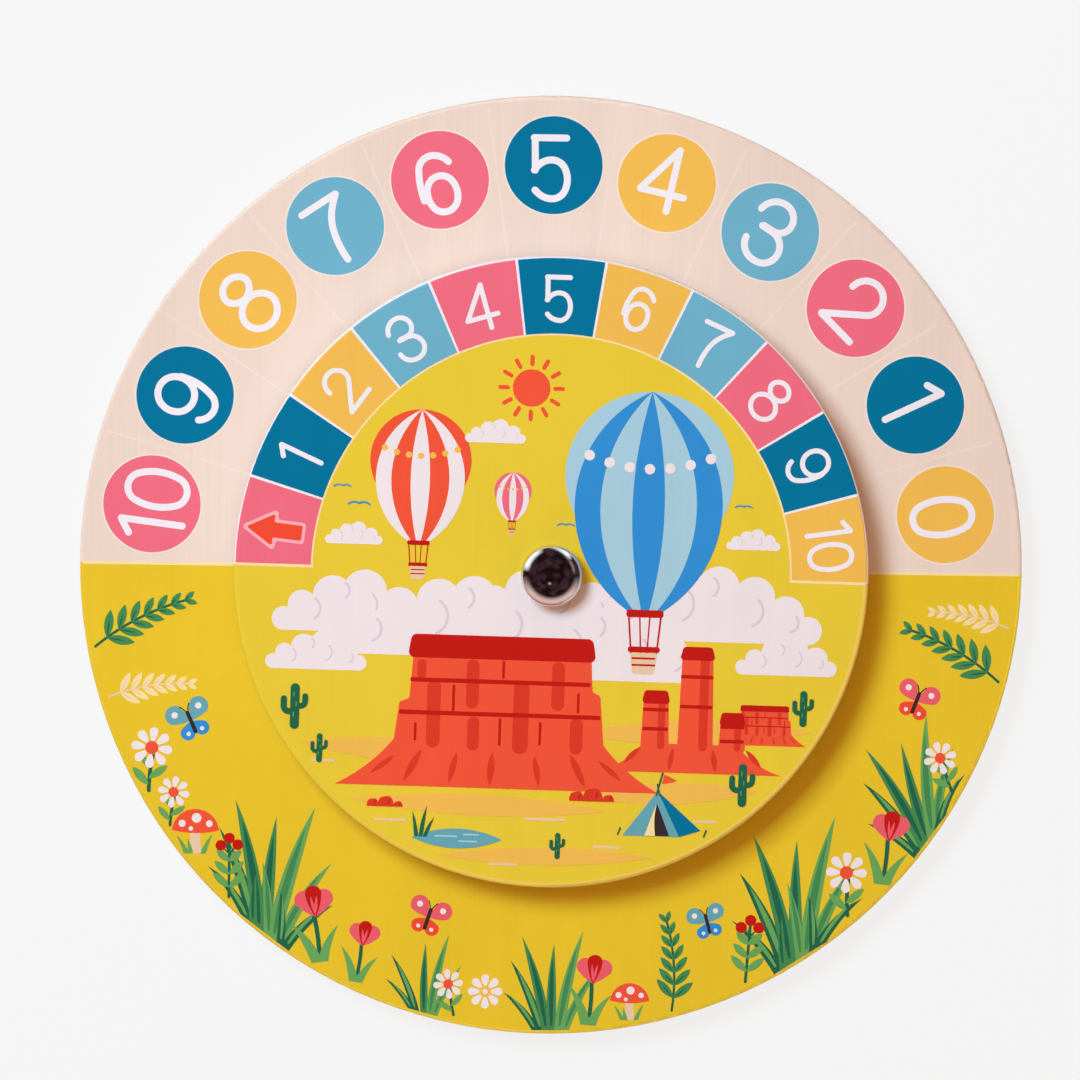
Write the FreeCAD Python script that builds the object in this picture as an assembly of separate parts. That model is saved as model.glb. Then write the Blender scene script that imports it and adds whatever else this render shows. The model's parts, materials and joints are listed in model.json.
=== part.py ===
import FreeCAD, Part
import math
import os

# Number bond wheel: a round wooden board with a smaller wooden dial that turns on it.
# Millimetres. The back of the board lies on z = 0, +Z points out of the printed face, the
# pivot is the Z axis, and +Y points to the middle number of the board's ring of numbers.

# ---- the two boards ----
BOARD_DIAMETER = 220.0
BOARD_THICKNESS = 10.0
DIAL_DIAMETER = 147.0
DIAL_THICKNESS = 10.0
RIM_ROUNDING = 0.8          # sanded edge, front and back, on both boards

# ---- bolt through the board: M6 button head with a hexagon socket ----
BOLT_DIAMETER = 6.0
BOLT_HEAD_DIAMETER = 10.5
BOLT_HEAD_HEIGHT = 3.3
BOLT_HEAD_EDGE = 0.6        # straight edge of the head, next to the washer
BOLT_HEAD_FLAT = 5.6        # flat across the crown, round the socket
BOLT_TIP_CHAMFER = 0.6
SOCKET_ACROSS_FLATS = 4.0
SOCKET_DEPTH = 2.1
HEAD_RECESS = 0.5           # crown of the head, below the back of the board

# ---- washers and lock nut that clamp the bolt to the board ----
BACK_WASHER_DIAMETER = 18.0
BACK_WASHER_THICKNESS = 1.6
NUT_WASHER_DIAMETER = 12.0
NUT_WASHER_THICKNESS = 1.0
NUT_ACROSS_FLATS = 10.0
NUT_HEIGHT = 3.2
NUT_CORNER_ANGLE = 30.0     # degrees, chamfer that takes the nut's corners down

# ---- what the dial runs on ----
THRUST_WASHER_THICKNESS = 2.0
THRUST_WASHER_WIDTH = 8.0
BUSHING_WALL = 2.0
CAP_WASHER_DIAMETER = 13.5
CAP_WASHER_THICKNESS = 1.0

# ---- dome nut ----
DOME_DIAMETER = 14.2
DOME_SKIRT = 3.2            # straight part below the crown
DOME_SKIRT_CHAMFER = 0.3
DOME_CROWN_RADIUS = 9.6
DOME_SHOULDER_RADIUS = 1.6  # of the tight shoulder between crown and skirt
THREAD_ENGAGEMENT = 5.2     # length of bolt inside the dome nut

# ---- clearances ----
BOLT_HOLE_GAP = 0.2         # radial: board and washers on the bolt
COUNTERBORE_GAP = 1.0       # radial: counterbore round the back washer
THREAD_GAP = 0.02           # radial: nuts on the bolt, threads left out
RUNNING_GAP = 0.05          # radial: bushing on the bolt
AXIAL_PLAY = 0.2            # cap washer to dome nut
RELIEF_SIDE_GAP = 1.5       # radial: relief in the dial round the nut and its washer
RELIEF_TOP_GAP = 0.8        # above the lock nut
THRUST_LAND = 2.0           # radial: thrust washer's bore outside the relief

# ---- heights along the pivot, from the back of the board upwards ----
under_head_z = HEAD_RECESS + BOLT_HEAD_HEIGHT
counterbore_z = under_head_z + BACK_WASHER_THICKNESS
nut_z = BOARD_THICKNESS + NUT_WASHER_THICKNESS
nut_top_z = nut_z + NUT_HEIGHT
dial_z = BOARD_THICKNESS + THRUST_WASHER_THICKNESS
relief_top_z = nut_top_z + RELIEF_TOP_GAP
dial_top_z = dial_z + DIAL_THICKNESS
dome_z = dial_top_z + CAP_WASHER_THICKNESS + AXIAL_PLAY
bolt_tip_z = dome_z + THREAD_ENGAGEMENT

# ---- radii that follow from the bolt and the clearances ----
bolt_radius = BOLT_DIAMETER / 2
bolt_hole_radius = bolt_radius + BOLT_HOLE_GAP
nut_bore_radius = bolt_radius + THREAD_GAP
bushing_bore_radius = bolt_radius + RUNNING_GAP
bushing_radius = bushing_bore_radius + BUSHING_WALL
nut_corner_radius = NUT_ACROSS_FLATS / 2 / math.cos(math.pi / 6)
relief_radius = max(nut_corner_radius, NUT_WASHER_DIAMETER / 2) + RELIEF_SIDE_GAP
thrust_bore_radius = relief_radius + THRUST_LAND
thrust_radius = thrust_bore_radius + THRUST_WASHER_WIDTH
counterbore_radius = BACK_WASHER_DIAMETER / 2 + COUNTERBORE_GAP


def cylinder(radius, bottom, top):
    """A round bar on the pivot axis between two heights."""
    return Part.makeCylinder(radius, top - bottom, FreeCAD.Vector(0, 0, bottom))


def ring(outer_radius, inner_radius, bottom, top):
    """A flat washer on the pivot axis."""
    return cylinder(outer_radius, bottom, top).cut(cylinder(inner_radius, bottom, top))


def hexagon(across_flats, bottom, top):
    """A hexagonal bar on the pivot axis, with two of its flats across X."""
    corner = across_flats / 2 / math.cos(math.pi / 6)
    points = []
    for step in range(7):
        angle = math.radians(30 + 60 * step)
        points.append(FreeCAD.Vector(corner * math.cos(angle), corner * math.sin(angle), bottom))
    face = Part.Face(Part.makePolygon(points))
    return face.extrude(FreeCAD.Vector(0, 0, top - bottom))


def point(radius, height):
    """A point of a turned outline."""
    return FreeCAD.Vector(radius, 0, height)


def line(start, end):
    return Part.LineSegment(start, end).toShape()


def arc(start, middle, end):
    return Part.Arc(start, middle, end).toShape()


def turned(edges):
    """A solid of revolution round the pivot axis from a closed outline."""
    face = Part.Face(Part.Wire(edges))
    return face.revolve(FreeCAD.Vector(0, 0, 0), FreeCAD.Vector(0, 0, 1), 360)


def sanded_disc(radius, bottom, top, rounding):
    """A flat round board whose two rims are rounded."""
    bend = rounding * (1 - math.sqrt(0.5))
    side_low, side_high = point(radius, bottom + rounding), point(radius, top - rounding)
    back_edge, front_edge = point(radius - rounding, bottom), point(radius - rounding, top)
    return turned([
        line(point(0, bottom), back_edge),
        arc(back_edge, point(radius - bend, bottom + bend), side_low),
        line(side_low, side_high),
        arc(side_high, point(radius - bend, top - bend), front_edge),
        line(front_edge, point(0, top)),
        line(point(0, top), point(0, bottom)),
    ])


def base_board():
    """Large board, with the bolt's hole and a counterbore for its head in the back."""
    board = sanded_disc(BOARD_DIAMETER / 2, 0, BOARD_THICKNESS, RIM_ROUNDING)
    board = board.cut(cylinder(bolt_hole_radius, 0, BOARD_THICKNESS))
    return board.cut(cylinder(counterbore_radius, 0, counterbore_z))


def back_washer():
    return ring(BACK_WASHER_DIAMETER / 2, bolt_hole_radius, under_head_z, counterbore_z)


def pivot_bolt():
    """Button-head bolt, head down, its plain shank standing for the thread."""
    head_radius, flat_radius = BOLT_HEAD_DIAMETER / 2, BOLT_HEAD_FLAT / 2
    edge_z = under_head_z - BOLT_HEAD_EDGE
    # The crown is part of a sphere whose centre lies on the pivot axis.
    centre_z = (head_radius**2 - flat_radius**2 + edge_z**2 - HEAD_RECESS**2)
    centre_z /= 2 * (edge_z - HEAD_RECESS)
    crown_radius = math.hypot(flat_radius, centre_z - HEAD_RECESS)
    middle_radius = (head_radius + flat_radius) / 2
    middle = point(middle_radius, centre_z - math.sqrt(crown_radius**2 - middle_radius**2))
    tip_radius = bolt_radius - BOLT_TIP_CHAMFER
    bolt = turned([
        line(point(0, HEAD_RECESS), point(flat_radius, HEAD_RECESS)),
        arc(point(flat_radius, HEAD_RECESS), middle, point(head_radius, edge_z)),
        line(point(head_radius, edge_z), point(head_radius, under_head_z)),
        line(point(head_radius, under_head_z), point(bolt_radius, under_head_z)),
        line(point(bolt_radius, under_head_z), point(bolt_radius, bolt_tip_z - BOLT_TIP_CHAMFER)),
        line(point(bolt_radius, bolt_tip_z - BOLT_TIP_CHAMFER), point(tip_radius, bolt_tip_z)),
        line(point(tip_radius, bolt_tip_z), point(0, bolt_tip_z)),
        line(point(0, bolt_tip_z), point(0, HEAD_RECESS)),
    ])
    return bolt.cut(hexagon(SOCKET_ACROSS_FLATS, HEAD_RECESS, HEAD_RECESS + SOCKET_DEPTH))


def nut_washer():
    return ring(NUT_WASHER_DIAMETER / 2, bolt_hole_radius, BOARD_THICKNESS, nut_z)


def lock_nut():
    """Thin hexagon nut with its corners taken down on both faces."""
    flat_radius = NUT_ACROSS_FLATS / 2
    corner_drop = (nut_corner_radius - flat_radius) * math.tan(math.radians(NUT_CORNER_ANGLE))
    envelope = turned([
        line(point(0, nut_z), point(flat_radius, nut_z)),
        line(point(flat_radius, nut_z), point(nut_corner_radius, nut_z + corner_drop)),
        line(point(nut_corner_radius, nut_z + corner_drop),
             point(nut_corner_radius, nut_top_z - corner_drop)),
        line(point(nut_corner_radius, nut_top_z - corner_drop), point(flat_radius, nut_top_z)),
        line(point(flat_radius, nut_top_z), point(0, nut_top_z)),
        line(point(0, nut_top_z), point(0, nut_z)),
    ])
    nut = hexagon(NUT_ACROSS_FLATS, nut_z, nut_top_z).common(envelope)
    return nut.cut(cylinder(nut_bore_radius, nut_z, nut_top_z))


def thrust_washer():
    return ring(thrust_radius, thrust_bore_radius, BOARD_THICKNESS, dial_z)


def dial_disc():
    """Dial, with a bore for the bushing and a relief in its underside for the lock nut."""
    dial = sanded_disc(DIAL_DIAMETER / 2, dial_z, dial_top_z, RIM_ROUNDING)
    dial = dial.cut(cylinder(bushing_radius, dial_z, dial_top_z))
    return dial.cut(cylinder(relief_radius, dial_z, relief_top_z))


def dial_bushing():
    return ring(bushing_radius, bushing_bore_radius, relief_top_z, dial_top_z)


def cap_washer():
    return ring(CAP_WASHER_DIAMETER / 2, bolt_hole_radius, dial_top_z,
                dial_top_z + CAP_WASHER_THICKNESS)


def dome_nut():
    """Round nut with a domed crown and a blind threaded hole that stops on the bolt's tip."""
    radius = DOME_DIAMETER / 2
    shoulder_z = dome_z + DOME_SKIRT
    # Crown and shoulder meet where both lean by the same angle from the pivot axis.
    centres_apart = DOME_CROWN_RADIUS - DOME_SHOULDER_RADIUS
    meeting = math.asin((radius - DOME_SHOULDER_RADIUS) / centres_apart)
    crown_centre_z = shoulder_z - centres_apart * math.cos(meeting)

    def on_shoulder(lean):
        return point(radius - DOME_SHOULDER_RADIUS * (1 - math.sin(lean)),
                     shoulder_z + DOME_SHOULDER_RADIUS * math.cos(lean))

    def on_crown(lean):
        return point(DOME_CROWN_RADIUS * math.sin(lean),
                     crown_centre_z + DOME_CROWN_RADIUS * math.cos(lean))

    dome = turned([
        line(point(0, dome_z), point(radius - DOME_SKIRT_CHAMFER, dome_z)),
        line(point(radius - DOME_SKIRT_CHAMFER, dome_z),
             point(radius, dome_z + DOME_SKIRT_CHAMFER)),
        line(point(radius, dome_z + DOME_SKIRT_CHAMFER), point(radius, shoulder_z)),
        arc(point(radius, shoulder_z), on_shoulder((meeting + math.pi / 2) / 2),
            on_shoulder(meeting)),
        arc(on_shoulder(meeting), on_crown(meeting / 2), on_crown(0)),
        line(on_crown(0), point(0, dome_z)),
    ])
    return dome.cut(cylinder(nut_bore_radius, dome_z, bolt_tip_z))


PIECES = [base_board, back_washer, pivot_bolt, nut_washer, lock_nut, thrust_washer,
          dial_disc, dial_bushing, cap_washer, dome_nut]


def main():
    os.makedirs("parts", exist_ok=True)
    for piece in PIECES:
        shape = piece()
        box = shape.BoundBox
        shape.exportStep(f"parts/{piece.__name__}.step")
        print(f"{piece.__name__:14s} {len(shape.Solids)} solid, valid {shape.isValid()}, "
              f"{shape.Volume:10.1f} mm3, z {box.ZMin:6.2f} to {box.ZMax:6.2f}")


main()
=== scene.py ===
import json
import math

import bmesh
import bpy
from bpy.props import FloatProperty, FloatVectorProperty, IntProperty, PointerProperty
from mathutils import Matrix, Vector

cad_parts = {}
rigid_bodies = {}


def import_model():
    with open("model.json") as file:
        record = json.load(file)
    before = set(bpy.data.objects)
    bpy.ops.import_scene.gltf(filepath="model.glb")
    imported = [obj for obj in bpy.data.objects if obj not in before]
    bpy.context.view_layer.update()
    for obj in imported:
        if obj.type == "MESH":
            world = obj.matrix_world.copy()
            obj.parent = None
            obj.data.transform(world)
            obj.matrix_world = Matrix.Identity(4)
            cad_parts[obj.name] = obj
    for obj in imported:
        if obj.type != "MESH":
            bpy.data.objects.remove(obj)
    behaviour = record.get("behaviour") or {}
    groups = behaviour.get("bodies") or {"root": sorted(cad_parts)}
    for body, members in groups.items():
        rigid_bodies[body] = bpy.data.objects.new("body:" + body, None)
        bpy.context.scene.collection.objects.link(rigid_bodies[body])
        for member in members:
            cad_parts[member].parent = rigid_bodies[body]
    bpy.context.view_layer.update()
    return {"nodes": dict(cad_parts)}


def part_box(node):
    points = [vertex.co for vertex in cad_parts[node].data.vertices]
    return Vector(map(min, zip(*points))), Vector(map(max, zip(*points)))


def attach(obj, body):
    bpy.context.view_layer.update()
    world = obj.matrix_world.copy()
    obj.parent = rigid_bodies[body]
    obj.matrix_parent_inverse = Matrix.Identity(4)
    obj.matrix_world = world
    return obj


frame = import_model()

bl_info = {
    "name": "Number bond wheel",
    "version": (1, 0, 0),
    "blender": (4, 5, 0),
    "location": "View3D > Sidebar > Wheel",
    "description": "Prints and finishes a wooden number bond wheel on its packed frame",
    "category": "Object",
}

MM = 0.001
NODES = frame["nodes"]
BOARD_LOW, BOARD_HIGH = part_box("base_board")
DIAL_LOW, DIAL_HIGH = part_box("dial_disc")
BOARD_TOP, DIAL_TOP = BOARD_HIGH.z, DIAL_HIGH.z
BOARD_RADIUS, DIAL_RADIUS = BOARD_HIGH.x, DIAL_HIGH.x
# Body that a print rides on, and the finish in the record that it belongs to.
ON_BOARD, ON_DIAL = ("base", "board_wood"), ("dial", "dial_wood")
UPPER_HALF = 180.0          # degrees that the numbers span, on the board and on the dial
ARC_TOLERANCE = 0.006 * MM  # how far a chord may lie inside the arc it stands for
SEED_RADIUS = 0.01 * MM     # size of the speck that each outline starts from
UNDERSIDE = -0.5            # a face whose normal's Z is less looks down


def srgb(red, green, blue):
    """Screen colour from 0 to 255 as the linear colour that Blender's sockets take."""
    def linear(value):
        value /= 255
        return value / 12.92 if value <= 0.04045 else ((value + 0.055) / 1.055) ** 2.4
    return linear(red), linear(green), linear(blue)


def length(name, millimetres, description):
    return FloatProperty(name=name, description=description, default=millimetres * MM, min=0,
                         unit="LENGTH", subtype="DISTANCE", precision=5)


def offset(name, millimetres, description):
    return FloatProperty(name=name, description=description, default=millimetres * MM,
                         unit="LENGTH", precision=5)


def degrees(name, value, description):
    return FloatProperty(name=name, description=description, default=math.radians(value),
                         unit="ROTATION", subtype="ANGLE")


def scalar(name, value, low, high, description):
    return FloatProperty(name=name, description=description, default=value, min=low, max=high)


def colour(name, screen, description):
    return FloatVectorProperty(name=name, description=description, default=srgb(*screen),
                               size=3, min=0, max=1, subtype="COLOR")


class WheelSizes(bpy.types.PropertyGroup):
    """Sizes of the printed design."""
    sectors: IntProperty(name="Sectors", description="Numbers on each half ring", default=11,
                         min=2, max=24)
    ring_radius: length("Ring radius", 93.5, "Middle of the ring of number discs")
    disc_radius: length("Disc radius", 11.35, "Coloured part of one number disc")
    disc_outline: length("Disc outline", 0.35, "Pale outline round a number disc")
    disc_numeral: length("Disc numeral", 13.9, "Height of a disc's numeral, without its stroke")
    print_shift_x: offset("Print shift X", -0.72, "How far the board's print lies off centre")
    print_shift_y: offset("Print shift Y", 0.62, "How far the board's print lies off centre")
    board_line: length("Board line", 0.5, "Width of the faint lines between the board's numbers")
    line_margin: length("Line margin", 2.4, "Bare wood between those lines and the board's rim")
    line_start: length("Line start", 4, "How far those lines begin inside the dial's rim")
    field_line: length("Field line", 0.7, "Pale line along the yellow field's straight edge")
    dial_turn: degrees("Dial print turn", -1.07, "How far the dial is off the board's print")
    sector_inner: length("Sector inner radius", 55.5, "Inner edge of the ring of sectors")
    sector_line: length("Sector line", 0.65, "White lines between the sectors")
    arc_line: length("Arc line", 0.455, "Pale line round the dial's picture")
    sector_numeral: length("Sector numeral", 9.8, "Height of a sector's numeral")
    numeral_stroke: scalar("Numeral stroke", 0.116, 0.05, 0.3,
                           "Width of a numeral's stroke, per unit of height")
    ink: length("Ink", 0.03, "Thickness of the lowest layer of ink")
    ink_step: length("Ink step", 0.02, "How much higher each further layer stands")
    rim_rounding: length("Rim rounding", 0.8, "Sanded edge of the boards")
    dial_margin: length("Dial margin", 1.3, "Rim of the dial outside its yellow film")
    hole_margin: length("Hole margin", 0.5, "Bare wood between the print and what fills a hole")
    sector_wrap: degrees("Sector wrap", 36, "How far a sector follows the sanded edge down")
    line_wrap: degrees("Line wrap", 78, "How far the white round the sectors follows that edge")


class WheelColours(bpy.types.PropertyGroup):
    """Colours of the wood, the inks and the fittings."""
    wood: colour("Wood", (241, 217, 202), "Bare face of the boards")
    ply_long: colour("Long ply", (246, 224, 202), "Edge of a ply whose grain runs along it")
    ply_cross: colour("Cross ply", (236, 206, 178), "Edge of a ply seen end-on")
    glue: colour("Glue line", (206, 168, 134), "Darker line between two plies")
    wash: colour("White wash", (252, 252, 255), "Thin paint on the dial's edge")
    zinc: colour("Zinc", (196, 198, 200), "Bolt, lock nut and steel washers")
    brass: colour("Brass", (212, 178, 104), "Bushing")
    chrome: colour("Chrome", (232, 233, 236), "Dome nut")
    nylon: colour("Nylon", (220, 217, 206), "Nylon washers")
    nylon_pale: colour("Pale nylon", (238, 236, 228), "Paler clouds in the nylon")
    # Rim colours paler than the inks: partly ink soaked into the sanded wood, partly a painted
    # highlight on the lower right rim.
    board_bleed_and_highlight: colour("Board bleed", (255, 226, 66), "Board's rim where ink has soaked in")
    dial_bleed_and_highlight: colour("Dial bleed", (245, 209, 90), "Dial's rim where ink has soaked in")
    yellow: colour("Yellow", (237, 198, 46), "Board's lower field")
    dial_yellow: colour("Dial yellow", (238, 205, 58), "Ground of the dial")
    blue: colour("Blue", (0, 117, 156), "Dark blue of discs and sectors")
    pink: colour("Pink", (244, 111, 131), "Pink of discs and sectors")
    sky: colour("Light blue", (112, 178, 203), "Light blue of discs and sectors")
    amber: colour("Amber", (246, 190, 84), "Amber of discs and sectors")
    white: colour("White ink", (245, 238, 244), "Numerals, and lines between the sectors")
    faint: colour("Faint white", (244, 223, 211), "Lines between the board's numbers")
    halo: colour("Halo", (246, 230, 222), "Outlines of the number discs")
    cream: colour("Cream", (253, 226, 164), "Lines next to the yellow grounds")
    arrow: colour("Arrow red", (246, 77, 52), "The dial's arrow")
    arrow_edge: colour("Arrow edge", (253, 176, 184), "Outline of the dial's arrow")
    rock: colour("Rock red", (246, 87, 58), "Rocks, sun, toadstools and the second balloon")
    shade: colour("Rock shade", (224, 60, 40), "Shaded faces of the rocks")
    strata: colour("Dark red", (200, 28, 22), "Bands in the rocks")
    pale_blue: colour("Pale blue", (170, 208, 224), "Large balloon")
    mid_blue: colour("Mid blue", (52, 145, 214), "Gores of the large balloon")
    cloud: colour("Cloud", (245, 231, 233), "Clouds, daisies and the smaller balloons' gores")
    mist: colour("Mist", (226, 206, 218), "Shaded curls of the clouds")
    tan: colour("Tan", (239, 204, 168), "Baskets, streaks of sand and toadstool stems")
    teal: colour("Teal", (104, 168, 182), "Pool, tent and butterflies")
    leaf: colour("Leaf green", (108, 168, 92), "Light leaves")
    blade: colour("Blade green", (72, 140, 84), "Grass and leaves")
    stem: colour("Stem green", (36, 104, 76), "Dark leaves and stems")
    petal: colour("Petal", (240, 96, 108), "Tulips and pink butterflies")
    dark: colour("Dark ink", (58, 46, 44), "Fine dark strokes")


class WheelStage(bpy.types.PropertyGroup):
    """Camera and studio."""
    lens: FloatProperty(name="Lens", default=212.72, min=20, max=400, unit="CAMERA",
                        description="Focal length of the camera")
    distance: length("Distance", 1500, "Camera to the pivot, along its line of sight")
    tilt: degrees("Tilt", 5.437, "Camera's lean towards the top of the board")
    pan: degrees("Pan", 0.293, "Camera's lean to the side")
    roll: degrees("Roll", -0.785, "Turn of the picture")
    aim_x: offset("Aim X", 2.537, "Pivot's place in the picture, right of its middle")
    aim_y: offset("Aim Y", -5.751, "Pivot's place in the picture, above its middle")
    key_power: scalar("Key light", 33.0, 0, 1000,
                      "Power of the soft light from the upper left, in watts")
    key_size: length("Key size", 680, "Side of the square soft light")
    key_tint: colour("Key tint", (208, 238, 255), "Colour of the soft light")
    fill: scalar("Fill light", 0.48, 0, 2, "Strength of the even light from all round")
    fill_tint: colour("Fill tint", (255, 206, 168), "Colour of the even light from all round")
    background: colour("Background", (247, 247, 247), "Wall and table, as the camera sees them")
    table_glow: scalar("Table glow", 0.88, 0, 1, "Share of the table seen without its shadow")
    table: colour("Table", (244, 244, 244), "Table top, as the light finds it")
    tent_dark: colour("Dark tent", (28, 12, 17), "Dark room that the chrome mirrors")
    tent_light: colour("Tent glimmer", (72, 48, 52), "Paler patches of that room")
    pink_card: colour("Pink card", (228, 193, 184), "Soft pink cards that the chrome mirrors")


# ---------------------------------------------------------------- finishes

def maths(operation, reflected=False):
    """A method for Value that gives what this maths node makes of it and of another."""
    def method(self, *others):
        terms = (*others, self) if reflected else (self, *others)
        settings = {"operation": operation}
        return self.owner.node("ShaderNodeMath", settings, dict(enumerate(terms))).value(0)
    return method


class Value:
    """A number that a node gives, so that shader maths reads as Python."""
    __add__, __radd__ = maths("ADD"), maths("ADD", reflected=True)
    __sub__, __rsub__ = maths("SUBTRACT"), maths("SUBTRACT", reflected=True)
    __mul__, __rmul__ = maths("MULTIPLY"), maths("MULTIPLY", reflected=True)
    __mod__, __gt__, __lt__ = maths("MODULO"), maths("GREATER_THAN"), maths("LESS_THAN")
    __abs__, floor, highest = maths("ABSOLUTE"), maths("FLOOR"), maths("MAXIMUM")

    def __init__(self, owner, socket):
        self.owner = owner
        self.socket = socket

    def between(self, low, high):
        """0 up to low, 1 from high on, and even in between."""
        inputs = {"Value": self, "From Min": low, "From Max": high}
        return self.owner.node("ShaderNodeMapRange", {"clamp": True}, inputs).value(0)


class Node:
    """One shader node, whose outputs are taken by number or name."""

    def __init__(self, owner, made):
        self.owner = owner
        self.made = made

    def value(self, output):
        return Value(self.owner, self.made.outputs[output])


class Tree:
    """A node tree under construction."""

    def __init__(self, tree):
        self.tree = tree

    def node(self, kind, settings=None, inputs=None):
        """A node of that type: its settings first, then its sockets' values or links."""
        made = self.tree.nodes.new(kind)
        for name, setting in (settings or {}).items():
            setattr(made, name, setting)
        for name, given in (inputs or {}).items():
            self.feed(made.inputs[name], given)
        return Node(self, made)

    def feed(self, socket, given):
        if isinstance(given, Value):
            self.tree.links.new(given.socket, socket)
        elif socket.type == "RGBA":
            socket.default_value = (*given, 1)
        else:
            socket.default_value = given


class Finish(Tree):
    """A material under construction."""

    def __init__(self, name):
        self.material = bpy.data.materials.new(name)
        self.material.use_nodes = True
        super().__init__(self.material.node_tree)
        self.shader = self.tree.nodes["Principled BSDF"]

    def place(self, scale=(1, 1, 1), turn=0.0):
        """Object coordinates in metres, scaled and turned about Z."""
        coordinates = self.node("ShaderNodeTexCoord").value("Object")
        inputs = {"Vector": coordinates, "Scale": scale, "Rotation": (0, 0, turn)}
        return self.node("ShaderNodeMapping", None, inputs).value(0)

    def noise(self, scale, detail):
        """Soft noise from 0 to 1, with scale in features per metre along X, Y and Z."""
        inputs = {"Vector": self.place(scale), "Scale": 1.0, "Detail": detail}
        return self.node("ShaderNodeTexNoise", None, inputs).value(0)

    def mix(self, factor, first, second):
        """Blend of two colours."""
        inputs = {"Factor": factor, 6: first, 7: second}
        return self.node("ShaderNodeMix", {"data_type": "RGBA"}, inputs).value(2)

    def vary(self, pattern, tint, dark, pale):
        """A colour that goes with a pattern from a darker to a paler share of itself."""
        return self.mix(pattern, scaled(tint, dark), scaled(tint, pale))

    def blend(self, factor, other):
        """Lets another shader node take over from the main one, by a factor."""
        main = Node(self, self.shader)
        mixer = self.node("ShaderNodeMixShader", None,
                          {0: factor, 1: main.value(0), 2: other.value(0)})
        self.feed(self.tree.nodes["Material Output"].inputs["Surface"], mixer.value(0))

    def bump(self, height, distance, strength):
        inputs = {"Height": height, "Distance": distance, "Strength": strength}
        self.principled(Normal=self.node("ShaderNodeBump", None, inputs).value(0))

    def principled(self, **inputs):
        for name, given in inputs.items():
            self.feed(self.shader.inputs[name.replace("_", " ")], given)


# Patterns of the wood, in features per metre along X, Y and Z.
GRAIN_FINE = (1500.0, 28.0, 900.0)      # fine lines along Y
GRAIN_BROAD = (140.0, 5.0, 90.0)        # broad growth bands along Y
FIGURE = (30.0, 9.0, 30.0)              # slow drift of the tone
FIBRE = (700.0, 700.0, 120.0)           # streaks along a ply's edge
PORES = (2600.0, 2600.0, 2600.0)        # open ends of a cross ply's fibres
INK_CLOUD = (55.0, 40.0, 55.0)          # slow drift of an ink's strength
# Patterns of the fittings, in features per metre.
MARKS, STAIN, MOTTLE = (900.0,) * 3, (160.0,) * 3, (420.0,) * 3

PLIES = 7
VENEER = 0.55               # how far an outer veneer reaches round the sanded rim, in plies
GLUE_CORE, GLUE_EDGE = 0.02, 0.09       # half widths of a glue line's dark part and of all of it
MID_TONES = (0.3, 0.7)      # values of a pattern between which a tone changes
MATT = 0.46                 # roughness of the lacquer and of the ink, between lines of grain


def scaled(tint, factor):
    return tuple(min(1.0, channel * factor) for channel in tint)


def grain(finish):
    """Faint grain of basswood, about 0.5 on average."""
    return finish.noise(GRAIN_FINE, 3.0) * 0.45 + finish.noise(GRAIN_BROAD, 2.0) * 0.55


def plywood(name, colours, low, high, wash, ink, bleed_and_highlight, turn=0.0):
    """Basswood plywood between two corners: a bare pale face, and plies with glue lines on its
    cut edges under a share of white wash. Below a line with that turn, ink has soaked into the
    front rim, which turns towards the lower right to a paler colour: a painted highlight."""
    finish = Finish(name)
    lines = grain(finish)
    tone = lines * 0.6 + finish.noise(FIGURE, 1.0) * 0.4
    face = finish.vary(tone.between(*MID_TONES), colours.wood, dark=0.93, pale=1.05)
    # Height through the board, counted in plies from its back.
    axes = finish.node("ShaderNodeSeparateXYZ", None, {0: finish.place(turn=-turn)})
    layer = (axes.value("Z") - low.z) * (PLIES / (high.z - low.z))
    long_ply = finish.vary(finish.noise(FIBRE, 2.0), colours.ply_long, dark=0.86, pale=1.08)
    cross_ply = finish.vary(finish.noise(PORES, 1.0).between(0.35, 0.7), colours.ply_cross,
                            dark=0.82, pale=1.12)
    edge = finish.mix(layer.floor() % 2.0, long_ply, cross_ply)
    seam = abs((layer + 0.5).floor() - layer)
    edge = finish.mix(1 - seam.between(GLUE_CORE, GLUE_EDGE), edge, colours.glue)
    edge = finish.mix(wash, edge, colours.wash)
    inside = (layer > VENEER) * (layer < PLIES - VENEER)
    soaked = (axes.value("Y") < 0.0) * (layer > PLIES - 2 * VENEER)
    # Painted highlight: towards the lower right, the side away from the light, the soaked rim
    # turns from the ink's colour to the paler rim colour.
    away = (axes.value("X") - axes.value("Y")).between(0.0, high.x)
    wood = finish.mix(soaked, finish.mix(inside, face, edge), finish.mix(away, ink, bleed_and_highlight))
    finish.principled(Base_Color=wood, Specular_IOR_Level=0.3,
                      Roughness=inside * 0.2 + lines * 0.12 + MATT)
    finish.bump(lines, 0.02 * MM, 0.6)
    return finish.material


def print_ink(name, tint):
    """Satin screen ink that lets a little of the grain under it show."""
    finish = Finish(name)
    lines = grain(finish)
    tone = lines * 0.5 + finish.noise(INK_CLOUD, 3.0) * 0.5
    finish.principled(Base_Color=finish.vary(tone.between(*MID_TONES), tint, dark=0.955,
                                             pale=1.035),
                      Roughness=lines * 0.14 + MATT, Specular_IOR_Level=0.07)
    finish.bump(lines, 0.012 * MM, 0.5)
    return finish.material


def metal(name, tint, roughness, wear):
    """Plated or turned metal with fine handling marks."""
    finish = Finish(name)
    marks = finish.noise(MARKS, 4.0)
    stain = finish.noise(STAIN, 2.0)
    finish.principled(Base_Color=finish.vary(stain.between(*MID_TONES), tint, dark=1 - wear,
                                             pale=1.0),
                      Roughness=marks.between(0.35, 0.75) * wear * 0.8 + roughness, Metallic=1.0)
    finish.bump(marks, 0.004 * MM, wear)
    return finish.material


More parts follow.
